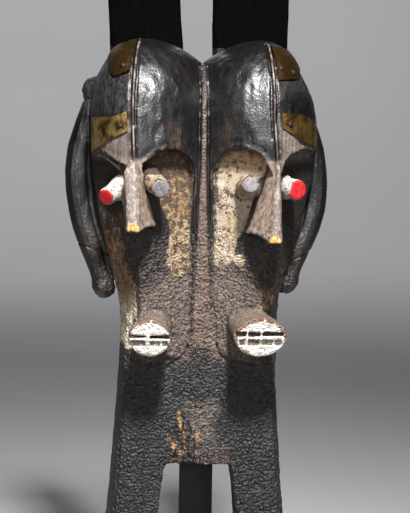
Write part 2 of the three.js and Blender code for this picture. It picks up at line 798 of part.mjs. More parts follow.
// Materials
const wood = new THREE.MeshStandardMaterial({ color: 0x2a2522, roughness: 0.5, metalness: 0 });
const brass = new THREE.MeshStandardMaterial({ color: 0x7a5c2c, roughness: 0.42, metalness: 1 });
const iron = new THREE.MeshStandardMaterial({ color: 0x2b241f, roughness: 0.6, metalness: 0.8 });
const steel = new THREE.MeshStandardMaterial({ color: 0x0c0c0d, roughness: 0.55, metalness: 0.3 });

const group = new THREE.Group();

function place(name, solid, material) {
  const mesh = new THREE.Mesh(geometryOf(solid), material);
  mesh.name = name;
  group.add(mesh);
}

place('mask_body', maskBody(), wood);
sheets.forEach((sheet, i) => {
  const lines = sheetNails[i];
  const plate = lines.reduce((rest, line) => rest.subtract(nailHole(line)), sheetSolid(sheet));
  place(`brass_sheet_${sheet.name}`, plate, brass);
  lines.forEach((line, j) => place(`nail_${sheet.name}_${j + 1}`, nailSolid(line), iron));
});
place('stand_post', standPost(), steel);
place('stand_base', standBase(), steel);

export default group;
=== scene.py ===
"""An Ijo water spirit headdress on its display stand: the carved wood, its paint and its brass."""
import math

import bpy
import numpy as np
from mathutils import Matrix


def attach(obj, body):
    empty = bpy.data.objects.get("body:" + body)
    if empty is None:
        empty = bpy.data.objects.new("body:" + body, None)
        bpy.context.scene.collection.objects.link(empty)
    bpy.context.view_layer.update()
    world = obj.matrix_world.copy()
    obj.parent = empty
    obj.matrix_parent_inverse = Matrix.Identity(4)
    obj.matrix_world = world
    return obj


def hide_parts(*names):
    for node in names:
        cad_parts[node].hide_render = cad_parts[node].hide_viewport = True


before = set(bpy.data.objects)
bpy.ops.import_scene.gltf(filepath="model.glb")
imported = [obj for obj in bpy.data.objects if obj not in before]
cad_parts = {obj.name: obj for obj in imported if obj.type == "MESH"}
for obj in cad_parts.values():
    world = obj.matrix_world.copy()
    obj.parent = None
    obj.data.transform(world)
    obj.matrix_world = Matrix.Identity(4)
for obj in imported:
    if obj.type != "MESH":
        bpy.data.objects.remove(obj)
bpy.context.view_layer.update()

import openvdb as vdb
from mathutils import Quaternion, Vector

# Lengths are in millimetres up to the meshes, which are in metres
MM = 0.001

# The grid that the carving is worked on, in millimetres, and the faces its mesh may have
VOXEL = 1.1
BAND = 9
SLOPE_STEP = 0.6
FACE_LIMIT = 195000

# Levels and profiles of the carving, as [level, value]
SHOULDER_Z = 530
CROWN_Z = 605
CROWN_X = 61
BOARD_FOOT = 596
BOARD_FRONT = 34
VALLEY_HALF = 10.5
INNER_FACE = [[290, -26], [380, -26], [470, -27], [503, -28]]
KEEL_X = [[290, 57], [350, 60], [420, 66], [470, 68]]
KEEL_Y = [[290, -38], [350, -42], [420, -50], [470, -52]]
RIB_HALF = [[300, 12], [340, 9.5], [410, 5.5], [480, 3.5]]
RIB_MIDDLE = [[290, 2.5], [400, 0.5], [470, 0]]

# The two heads, alike but not equal, in distances from the middle plane
LEFT = dict(
    side=-1,
    ridge=[[470, 69], [530, 71.5]],
    arch=dict(middle=37.5, radius=27.5, top=497),
    nose_tip=(70.8, -95, 420),
    bridge=71.5,
    inner_eye=dict(root=(54.5, -42, 471), tip=(43.6, -80, 460.6), radius=9.8),
    outer_eye=dict(root=(77.3, -34, 462), tip=(97, -62, 450), radius=9.1),
    mouth=dict(root=(46, -30, 324), tip=(53.4, -88, 316.3), half=(21.2, 19)),
    teeth=[
        dict(low=0.6, high=1.9, depth=3, cells=[[-21, -3]]),
        dict(low=-0.5, high=2.6, depth=4, cells=[[0.7, 21]]),
        dict(low=-8.4, high=-2.7, depth=2, cells=[[-17.3, -3.7], [0.2, 10.4], [12.3, 18]]),
    ],
    # Below the eye the left kaolin stops where the nose's shadow begins, leaving the wood beside the nose
    # dark, a painted shade
    flank_edge=[[369, 30], [400, 34], [428, 35.5], [445, 45], [462, 56], [497, 62]],
    ridge_half=[[0, 3], [0.18, 8.3], [0.55, 6.8], [1, 7]],
    rim=dict(start=1.0, half=1.5),
    worn=((29, 507), (9, 17)),
    # How much higher the outer forehead's painted sheen starts on this head
    painted_sheen_edge=0,
    peg_tan=0.2,
    # The left inner peg loses more kaolin towards its root, a painted shade
    peg_root_shade=0.3,
)
RIGHT = dict(
    side=1,
    ridge=[[470, 71], [530, 66.5]],
    arch=dict(middle=39, radius=29, top=499),
    nose_tip=(66.5, -95, 409),
    bridge=71,
    inner_eye=dict(root=(42, -42, 460), tip=(42.5, -80, 466.2), radius=8.9),
    outer_eye=dict(root=(78.2, -34, 461.5), tip=(90.2, -64, 460), radius=10.6),
    mouth=dict(root=(46.5, -30, 326), tip=(55, -88, 318.3), half=(26.6, 20.4)),
    teeth=[
        dict(low=0.8, high=4.5, depth=4, cells=[[-25, -14.7], [-11.8, -0.3], [1.9, 22.6]]),
        dict(low=-8.5, high=-2.7, depth=2, cells=[[-21, -15.4], [-12.2, -0.7], [1.5, 12.7], [14.5, 21.5]]),
    ],
    flank_edge=[[396, 32], [409, 33], [413, 36], [440, 46], [468, 58], [497, 64]],
    ridge_half=[[0, 2], [0.18, 3], [1, 7]],
    rim=dict(start=1.8, half=2.2),
    worn=((22, 512), (6, 20)),
    # How much higher the outer forehead's painted sheen starts on this head
    painted_sheen_edge=10,
    peg_tan=0.1,
    peg_root_shade=0,
)
HEADS = (LEFT, RIGHT)

# The line under the left head's outer brow
BROW_LINE = [(-103, -13, 489.5), (-97.4, -17.6, 487.8), (-86.1, -30.8, 480.2), (-78.4, -39.8, 473)]


def profile(table, level):
    """The value of a profile at a level."""
    levels, values = zip(*table)
    return np.interp(level, levels, values)


def smoothstep(low, high, value):
    part = np.clip((value - low) / (high - low), 0, 1)
    return part * part * (3 - 2 * part)


# The camera and the picture's frame
PICTURE_HEIGHT = 0.513
CAMERA_DISTANCE = 2.4
CAMERA_AZIMUTH = math.radians(-4)
CAMERA_ELEVATION = math.radians(5)
CAMERA_ROLL = math.radians(1.07)
CAMERA_AIM = Vector((0.0053, 0, 0.3885))
SENSOR_HEIGHT = 36

# The lights: where each is, where it points, its size, its power in watts and the spread of its grid in
# degrees. A soft box hangs in front, four upright strips model the wood, and two lights are behind.
LIGHTS = {
    "light_above": ((0.1, -1.45, 2.15), (0, 0, 0.42), (0.22, 0.36), 140, 42),
    "light_front_left": ((-0.52, -2.55, 1.0), (0, 0, 0.6), (0.3, 1.2), 26, 26),
    "light_front_right": ((0.68, -2.5, 1.0), (0, 0, 0.6), (0.3, 1.2), 16, 26),
    "light_left": ((-1.5, -1.2, 1.1), (0, 0, 0.5), (0.14, 1.2), 3.5, 60),
    "light_right": ((1.5, -1.0, 1.0), (0, 0, 0.5), (0.1, 1.2), 0.9, 60),
    "light_behind": ((0, 2.8, 2.4), (0, 0, 0.45), (1.4, 0.8), 26, 70),
    "light_backdrop": ((0, 3.6, 3.6), (0, 6.2, 1.6), (3.0, 1.0), 110, 180),
}
WORLD_COLOUR = (0.9, 0.95, 1, 1)
WORLD_STRENGTH = 0.02

# The paper sweep: half its width, its front and back edges, its height and the radius of its bend
SWEEP_WIDTH, SWEEP_FRONT, SWEEP_BACK, SWEEP_TOP, SWEEP_RADIUS = 12.0, -5.4, 5.6, 8.0, 1.6
SWEEP_STEPS = 16


def linked_object(name, data):
    item = bpy.data.objects.new(name, data)
    bpy.context.collection.objects.link(item)
    return item


def aimed_object(name, data, place, way, roll=0):
    """A camera or a light at a place, looking along a vector."""
    item = linked_object(name, data)
    item.location = place
    item.rotation_mode = "QUATERNION"
    item.rotation_quaternion = way.to_track_quat("-Z", "Y") @ Quaternion((0, 0, 1), roll)
    return item


def add_camera():
    back = Vector((
        math.sin(CAMERA_AZIMUTH) * math.cos(CAMERA_ELEVATION),
        -math.cos(CAMERA_AZIMUTH) * math.cos(CAMERA_ELEVATION),
        math.sin(CAMERA_ELEVATION),
    ))
    data = bpy.data.cameras.new("camera")
    data.sensor_width = SENSOR_HEIGHT
    data.lens = SENSOR_HEIGHT * CAMERA_DISTANCE / PICTURE_HEIGHT
    data.clip_end = 50
    place = CAMERA_AIM + back * CAMERA_DISTANCE
    bpy.context.scene.camera = aimed_object("camera", data, place, -back, CAMERA_ROLL)


def add_area_light(name, place, aim, size, power, spread):
    """An area light, on its axis as bright as one of the power without a grid."""
    data = bpy.data.lights.new(name, "AREA")
    data.shape = "RECTANGLE"
    data.size, data.size_y = size
    half_spread = math.radians(spread) / 2
    data.energy = power * (1 - half_spread / math.tan(half_spread))
    data.spread = 2 * half_spread
    aimed_object(name, data, place, Vector(aim) - Vector(place))


def add_lights():
    for name, settings in LIGHTS.items():
        add_area_light(name, *settings)
    world = bpy.data.worlds.new("world")
    bpy.context.scene.world = world
    world.use_nodes = True
    background = world.node_tree.nodes["Background"]
    background.inputs["Color"].default_value = WORLD_COLOUR
    background.inputs["Strength"].default_value = WORLD_STRENGTH


# The distance field that the carving is worked in
class Field:
    """Distances to the wood's surface on a grid, in millimetres, negative inside."""

    def __init__(self, points, faces):
        grid = vdb.FloatGrid.createLevelSetFromPolygons(
            points,
            triangles=faces,
            transform=vdb.createLinearTransform(voxelSize=VOXEL),
            halfWidth=BAND,
        )
        self.low = np.floor(points.min(0) / VOXEL).astype(int) - BAND - 2
        high = np.ceil(points.max(0) / VOXEL).astype(int) + BAND + 2
        self.values = np.full(tuple(high - self.low + 1), grid.background, np.float32)
        grid.copyToArray(self.values, ijk=tuple(int(i) for i in self.low))

    def axes(self, first, last):
        """The coordinates along each axis of the cells from first to last."""
        lines = [(np.arange(a, b) + low) * np.float32(VOXEL) for a, b, low in zip(first, last, self.low)]
        return np.meshgrid(*lines, indexing="ij", sparse=True)

    def block(self, low, high):
        """A view of the distances in a box, with its coordinates."""
        first = np.maximum(np.floor(np.array(low) / VOXEL).astype(int) - self.low, 0)
        last = np.minimum(np.ceil(np.array(high) / VOXEL).astype(int) - self.low + 1, self.values.shape)
        part = self.values[tuple(slice(a, b) for a, b in zip(first, last))]
        return part, self.axes(first, last)

    def sample(self, points, values):
        """A grid's values at points."""
        place = points / VOXEL - self.low
        cell = np.clip(np.floor(place).astype(int), 0, np.array(values.shape) - 2)
        part = (place - cell).astype(np.float32)
        result = np.zeros(len(points), np.float32)
        for corner in np.ndindex(2, 2, 2):
            weight = np.ones(len(points), np.float32)
            for axis, step in enumerate(corner):
                weight *= part[:, axis] if step else 1 - part[:, axis]
            at = cell + corner
            result += weight * values[at[:, 0], at[:, 1], at[:, 2]]
        return result

    def slope(self, points):
        """The outward unit directions at points."""
        result = np.empty((len(points), 3), np.float32)
        for axis in range(3):
            shift = np.zeros(3)
            shift[axis] = SLOPE_STEP * VOXEL
            ahead, behind = (self.sample(place, self.values) for place in (points + shift, points - shift))
            result[:, axis] = ahead - behind
        return result / np.maximum(np.linalg.norm(result, axis=1, keepdims=True), 1e-6)

    def surface(self):
        """The points and four-sided faces of the surface."""
        grid = vdb.FloatGrid(VOXEL * BAND)
        grid.transform = vdb.createLinearTransform(voxelSize=VOXEL)
        grid.copyFromArray(self.values, ijk=tuple(int(i) for i in self.low), tolerance=0.0)
        points, _, quads = grid.convertToPolygons(isovalue=0.0, adaptivity=0.0)
        return points, quads


# Blocks of the grid for the cuts, as two corners
RIB_BLOCK = ((-16, -80, 300), (18, 0, 590))
SPLIT_BLOCK = ((-34, -60, 183), (12, -8, 240))
BEAD_BLOCK = ((-112, -60, 462), (-70, 0, 500))
CHIN_BLOCK = ((-40, -60, 276), (40, -10, 306))

# Grooves' half widths and depths, and how far their edges are rounded
RIB_GROOVE = (0.8, 1.2)
FOREHEAD_GROOVE = (0.6, 1.2)
CRESCENT_GROOVE = (0.8, 1.1)
CHIN_GROOVE = (1.1, 2.0)
SPLIT_DEPTH = 2.2
GROOVE_ROUND = 0.6

# Ribs: how far they rise, how round they are and how far off their grooves run
RIB_RISE, RIB_ROUND, RIB_WIDER, RIB_GAP = 1.1, 0.55, 1.2, 0.4
FOREHEAD_RISE, FOREHEAD_ROUND, FOREHEAD_GAP = 0.8, 1.1, 2.7
BEAD_RADIUS, BEAD_ROUND = 1.3, 0.8

# Cuts in the mouths, and the line round their rims
MOUTH_REACH, MOUTH_DEPTH, CELL_ROUND = 32, 12, 0.5
RIM_LINE_PLACE, RIM_LINE_HALF, RIM_LINE_DEPTH = 0.88, 0.5, 0.4

# The splits' places, tops and half widths, and the crescents' rings' sides, levels and leans
SPLITS = ((-22, 204, 0.9), (-15, 226, 1.3), (-9.5, 232, 1.0), (-4, 212, 0.8), (1.5, 199, 0.7))
RINGS = ((-1, 394, 0.35), (1, 391, 0.45), (-1, 546, -0.3), (1, 536, -0.4))
CRESCENT_X = 105
CHIN_CREASES = (
    [(-11.9, 0, 303), (-13.4, 0, 296), (-20.4, 0, 289), (-29, 0, 284)],
    [(16.9, 0, 303), (18.2, 0, 296), (23.6, 0, 290), (33, 0, 286)],
)

# Noises: spacing of the random values, seed, and how far they move a surface or an edge
UNEVEN = ((13, 13, 18), 3, 0.4)
TOOL_MARKS = ((5.5, 5.5, 9), 5, 0.2)
CHATTER = ((6.5, 6.5, 12), 13, 0.3)
CHATTER_BY_RIDGE = 0.25
PEBBLES = ((3.4, 3.4, 3.4), 17, 0.3)
CRUST = ((5.2, 5.2, 4.6), 11, 0.3)
FINE_CRUST = ((2.5, 2.5, 2.3), 19, 0.46)
CHIPS = ((3.2, 3.2, 5), 7, 1.1)
WANDERS = (((14, 14, 14), 23, 3.4), ((6, 6, 6), 29, 2.2))
NOISE_GAIN, NOISE_LIMIT = 1.6, 1.5

# How far blurring moves the surface at a sharp edge
FULL_BEND = 1.2


def blurred(values, steps):
    """A grid smoothed along each axis by a three-point kernel of each step."""
    result = values.copy()
    for step in steps:
        for axis in range(3):
            moved = np.moveaxis(result, axis, 0)
            sides = moved[:-2 * step] + moved[2 * step:]
            sides *= np.float32(0.25)
            sides += moved[step:-step] * np.float32(0.5)
            moved[step:-step] = sides
    return result


def lattice_noise(field, spacing, seed):
    """Smooth noise over the grid, about -1 to 1, from random values at a spacing."""
    rng = np.random.default_rng(seed)
    weights = []
    for length, gap in zip(field.values.shape, spacing):
        place = (np.arange(length) * VOXEL) / gap
        cell = np.floor(place).astype(int)
        part = place - cell
        rows = np.zeros((length, int(place[-1]) + 5), np.float32)
        kernel = [
            (1 - part) ** 3 / 6,
            (3 * part ** 3 - 6 * part ** 2 + 4) / 6,
            (-3 * part ** 3 + 3 * part ** 2 + 3 * part + 1) / 6,
            part ** 3 / 6,
        ]
        for shift, value in enumerate(kernel):
            rows[np.arange(length), cell + shift] = value
        weights.append(rows)
    values = rng.standard_normal([rows.shape[1] for rows in weights]).astype(np.float32)
    for rows in weights:
        values = np.tensordot(values, rows, axes=([0], [1]))
    return np.clip(values * np.float32(NOISE_GAIN), -NOISE_LIMIT, NOISE_LIMIT)


def add_noise(field, noise, share=1):
    spacing, seed, height = noise
    field.values += lattice_noise(field, spacing, seed) * (share * height)


def soft_union(first, second, round_off):
    part = np.clip(0.5 + 0.5 * (second - first) / round_off, 0, 1)
    return second + (first - second) * part - round_off * part * (1 - part)


def soft_cut(body, cutter, round_off):
    return -soft_union(-body, cutter, round_off)


def groove(part, sheet, half, depth):
    """Cuts a groove along a sheet, given by the distances to it."""
    cutter = np.maximum(np.abs(sheet) - half, -part - depth)
    part[:] = soft_cut(part, cutter, GROOVE_ROUND)


def tube(axes, route, radius):
    """Distances to a round bead along a route."""
    best = None
    for start, end in zip(route[:-1], route[1:]):
        run = np.subtract(end, start)
        shifts = [axis - begin for axis, begin in zip(axes, start)]
        along = sum(shift * way for shift, way in zip(shifts, run))
        along = np.clip(along / np.dot(run, run), 0, 1)
        gap = np.sqrt(sum((shift - along * way) ** 2 for shift, way in zip(shifts, run)))
        best = gap if best is None else np.minimum(best, gap)
    return best - radius


def in_frame(head, key):
    """A peg's or mouth's frame: its end, the directions across, up and out, and its length."""
    start, end = (np.array(head[key][point], float) * [head["side"], 1, 1] for point in ("root", "tip"))
    length = np.linalg.norm(end - start)
    out = (end - start) / length
    across = np.cross([0, 0, 1], out)
    across /= np.linalg.norm(across)
    if across[0] < 0:
        across = -across
    up = np.cross(out, across)
    if up[2] < 0:
        up = -up
    return end, across, up, out, length


def to_frame(axes, place):
    """Coordinates across, up and out in a frame."""
    end, across, up, out, _ = place
    x, y, z = (axes[i] - end[i] for i in range(3))
    return [x * way[0] + y * way[1] + z * way[2] for way in (across, up, out)]


def tooth_gap(row, cell, across, up):
    """Distance to a gap between teeth, negative inside."""
    middle, half = (cell[0] + cell[1]) / 2, (cell[1] - cell[0]) / 2
    centre, rise = (row["low"] + row["high"]) / 2, (row["high"] - row["low"]) / 2
    return np.maximum(np.abs(across - middle) - half, np.abs(up - centre) - rise)


def cut_mouth(field, head):
    """The gaps between the teeth and the line cut round the mouth's rim."""
    place = in_frame(head, "mouth")
    part, axes = field.block(place[0] - MOUTH_REACH, place[0] + MOUTH_REACH)
    across, up, out = to_frame(axes, place)
    near = out > -MOUTH_DEPTH
    for row in head["teeth"]:
        for cell in row["cells"]:
            cutter = np.maximum(tooth_gap(row, cell, across, up), -out - row["depth"])
            part[:] = np.where(near, soft_cut(part, cutter, CELL_ROUND), part)
    half_width, half_height = head["mouth"]["half"]
    ring = (np.sqrt((across / half_width) ** 2 + (up / half_height) ** 2) - RIM_LINE_PLACE) * half_height
    cutter = np.maximum(np.maximum(np.abs(ring) - RIM_LINE_HALF, -out - RIM_LINE_DEPTH), -up)
    part[:] = np.where(near, soft_cut(part, cutter, RIM_LINE_DEPTH), part)


def cut_ribs(field):
    """Rounds the rib between the heads and those on the foreheads, with grooves beside them."""
    part, (x, y, z) = field.block(*RIB_BLOCK)
    middle, half = profile(RIB_MIDDLE, z), profile(RIB_HALF, z) * RIB_WIDER
    part -= (RIB_RISE * np.exp(-((x - middle) / (half * RIB_ROUND)) ** 2)).astype(np.float32)
    for side in (-1, 1):
        groove(part, x - middle - side * (half + RIB_GAP), *RIB_GROOVE)
    for head in HEADS:
        low, high = sorted([head["side"] * 56, head["side"] * 84])
        part, (x, y, z) = field.block([low, -80, 488], [high, 20, 600])
        across = x * head["side"] - forehead_ridge(head, z)
        part -= (FOREHEAD_RISE * np.exp(-(across / FOREHEAD_ROUND) ** 2)).astype(np.float32)
        for shift in (-FOREHEAD_GAP, FOREHEAD_GAP):
            groove(part, across - shift, *FOREHEAD_GROOVE)


def forehead_ridge(head, z):
    """How far from the middle a forehead's rib runs."""
    rise = np.clip((z - SHOULDER_Z) / (CROWN_Z - SHOULDER_Z), 0, 1)
    return CROWN_X + (profile(head["ridge"], z) - CROWN_X) * np.sqrt(1 - rise * rise)


def cut_splits(field):
    """Upright splits in the plank's worn foot, above the gap between the legs."""
    part, (x, y, z) = field.block(*SPLIT_BLOCK)
    ripple = 1.1 * np.sin(z / 4.7) + 0.6 * np.sin(z / 2.1)
    for middle, top, half in SPLITS:
        taper = np.clip((top - z) / 12, 0, 1)
        groove(part, x - middle - ripple * 0.5, half * taper + 0.05, SPLIT_DEPTH)


def cut_crescents(field):
    """The rings cut round the crescents above their feet and below their knobs."""
    for side, level, lean in RINGS:
        low, high = sorted([side * 86, side * 136])
        part, (x, y, z) = field.block([low, -2, level - 20], [high, 44, level + 20])
        sheet = (z - level - lean * (x * side - CRESCENT_X)) / math.hypot(1, lean)
        groove(part, sheet, *CRESCENT_GROOVE)


def raise_brow_line(field):
    """The second line that runs under the lip of the left head's outer brow."""
    part, axes = field.block(*BEAD_BLOCK)
    part[:] = soft_union(part, tube(axes, BROW_LINE, BEAD_RADIUS), BEAD_ROUND)


def cut_chin(field):
    """The creases that leave the rib's foot and end the two faces."""
    part, (x, y, z) = field.block(*CHIN_BLOCK)
    flat = np.zeros_like(y)
    for route in CHIN_CREASES:
        groove(part, tube((x, flat, z), route, 0.0), *CHIN_GROOVE)


def roughen(field):
    """Tool marks all over, pebbles on the foreheads and a granular crust lower down."""
    x, y, z = field.axes((0, 0, 0), field.values.shape)
    front = smoothstep(14, 0, y)
    off_crescents = 1 - smoothstep(86, 92, np.abs(x)) * smoothstep(-8, 0, y)
    crusted = smoothstep(425, 370, z) * front * smoothstep(-58, -48, y) * off_crescents
    crusted = crusted.astype(np.float32)
    forehead = (smoothstep(484, 500, z) * front).astype(np.float32)
    beside_ridge = np.exp(-((np.abs(x) - 58) / 13) ** 2).astype(np.float32)
    add_noise(field, UNEVEN)
    add_noise(field, TOOL_MARKS)
    spacing, seed, height = CHATTER
    chatter = np.abs(lattice_noise(field, spacing, seed))
    field.values += chatter * (height + forehead * beside_ridge * CHATTER_BY_RIDGE) * (1 - crusted)
    add_noise(field, PEBBLES, forehead * (1 - 0.75 * beside_ridge))
    add_noise(field, CRUST, crusted)
    add_noise(field, FINE_CRUST, crusted)


def carved_field():
    """The carving's distance field with its facets smoothed away and its fine cuts made."""
    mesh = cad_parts["mask_body"].data
    mesh.calc_loop_triangles()
    points = read_all(mesh.vertices, "co") / np.float32(MM)
    field = Field(points, read_all(mesh.loop_triangles, "vertices", np.int32).astype(np.uint32))

    # Facets give way to an even surface, and real edges stay
    steps = ((1, 2, 3, 4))
    even = blurred(field.values, steps)
    soft = blurred(field.values, (1,))
    keep = smoothstep(0.6, 1.5, np.abs(even - field.values)).astype(np.float32)
    field.values = even + (soft - even) * keep

    cut_ribs(field)
    cut_chin(field)
    cut_splits(field)
    cut_crescents(field)
    raise_brow_line(field)
    for head in HEADS:
        cut_mouth(field, head)

    # Edges that wear and chips have broken
    bend = blurred(field.values, (1, 2)) - field.values
    roughen(field)
    spacing, seed, depth = CHIPS
    chips = smoothstep(0.1, 0.8, lattice_noise(field, spacing, seed))
    field.values += np.clip(bend, 0, FULL_BEND) * chips * np.float32(depth)
    return field, bend


def mesh_of(name, points, faces):
    """A mesh in metres from points in millimetres and faces of equal length."""
    mesh = bpy.data.meshes.new(name)
    sides = faces.shape[1]
    mesh.vertices.add(len(points))
    mesh.vertices.foreach_set("co", (points * MM).astype(np.float32).ravel())
    mesh.loops.add(faces.size)
    mesh.loops.foreach_set("vertex_index", faces.astype(np.int32).ravel())
    mesh.polygons.add(len(faces))
    mesh.polygons.foreach_set("loop_start", np.arange(0, faces.size, sides, dtype=np.int32))
    mesh.update(calc_edges=True)
    return mesh


def read_all(items, name, kind=np.float32):
    """The three values that each item of a mesh has under a name."""
    values = np.empty(len(items) * 3, kind)
    items.foreach_get(name, values)
    return values.reshape(-1, 3)


# Where the paint, the wear and the bare wood lie, as soft distances in millimetres, positive inside
FAR = -20.0

# The left cheek's painted strip, by level: its edges, how tan it is and how much of its paint is lost. Below
# nil, at the strip's foot, the tan turns it bright cream, partly its real pale cream and partly a painted
# highlight.
CHEEK_EDGE = [[300, 80], [338, 83], [358, 86], [388, 94], [417, 101], [450, 104]]
CHEEK_START = [[300, 66], [345, 64], [362, 66], [376, 74], [392, 79], [430, 79]]
CHEEK_TAN_AND_HIGHLIGHT = [[300, -0.3], [338, -0.5], [350, 0.3], [358, 1.0], [400, 1.5], [418, 1.0], [440, 0.8]]
CHEEK_LOSS = [[300, 0.24], [350, 0.2], [365, 0.29], [400, 0.31], [418, 0.38], [440, 0.44]]

# The middle rib's painted share, by level, and the splinters beside the splits, as place and size
RIB_SHARE = [[300, 0.85], [420, 0.8], [480, 0.66]]
SPLINTERS = (
    ((-19.5, 232), (1.8, 4)), ((-17.5, 222), (1.8, 6)), ((-14.5, 212), (1.9, 9)), ((-29, 209), (2.2, 4)),
    ((-24, 202), (2.2, 5)), ((-16.4, 195), (2.2, 3)), ((-0.7, 207.5), (1.7, 6)),
)

# Where the noses start, and how far the tips' bare wood, the flanks and the drums reach
NOSE_TOP = 486
TIP_REACH = 6.2
FLANK_REACH = 30
DRUM_LENGTH = 50
PAINT_DEPTH = 2.2


def least(*values):
    """Distance inside all of several shapes."""
    result = values[0]
    for value in values[1:]:
        result = np.minimum(result, value)
    return result


def face_plane(u, z):
    """How far forward the inner face plane stands."""
    keel_x, keel_y = profile(KEEL_X, z), profile(KEEL_Y, z)
    start = profile(INNER_FACE, z)
    return start + (u - VALLEY_HALF) / (keel_x - VALLEY_HALF) * (keel_y - start)


def kaolin_patch(head, u, y, z):
    """The painted inner side of a face, from its arch down to its rounded end."""
    arch = head["arch"]
    centre = arch["top"] - arch["radius"]
    under_arch = arch["radius"] - np.hypot(u - arch["middle"], z - centre)
    edge = profile(head["flank_edge"], z)
    if head is RIGHT:
        end = 379 + 0.09 * (u - 20) ** 2
        lobe = 5 - np.hypot(u - 38, (z - 389) * 0.8)
    else:
        end = 371 + 0.06 * (u - 22) ** 2
        lobe = np.full(len(u), FAR)
    below = least(u - VALLEY_HALF, edge - u, z - end)
    inside = np.where(z > centre, np.minimum(under_arch, edge - u), below)
    depth = 6 + 8 * smoothstep(435, 455, z)
    return np.minimum(np.maximum(inside, lobe), depth - np.abs(y - face_plane(u, z)))


def spot(u, z, place, size):
    """Distance inside an oval in the front view."""
    return (1 - np.hypot((u - place[0]) / size[0], (z - place[1]) / size[1])) * min(size)


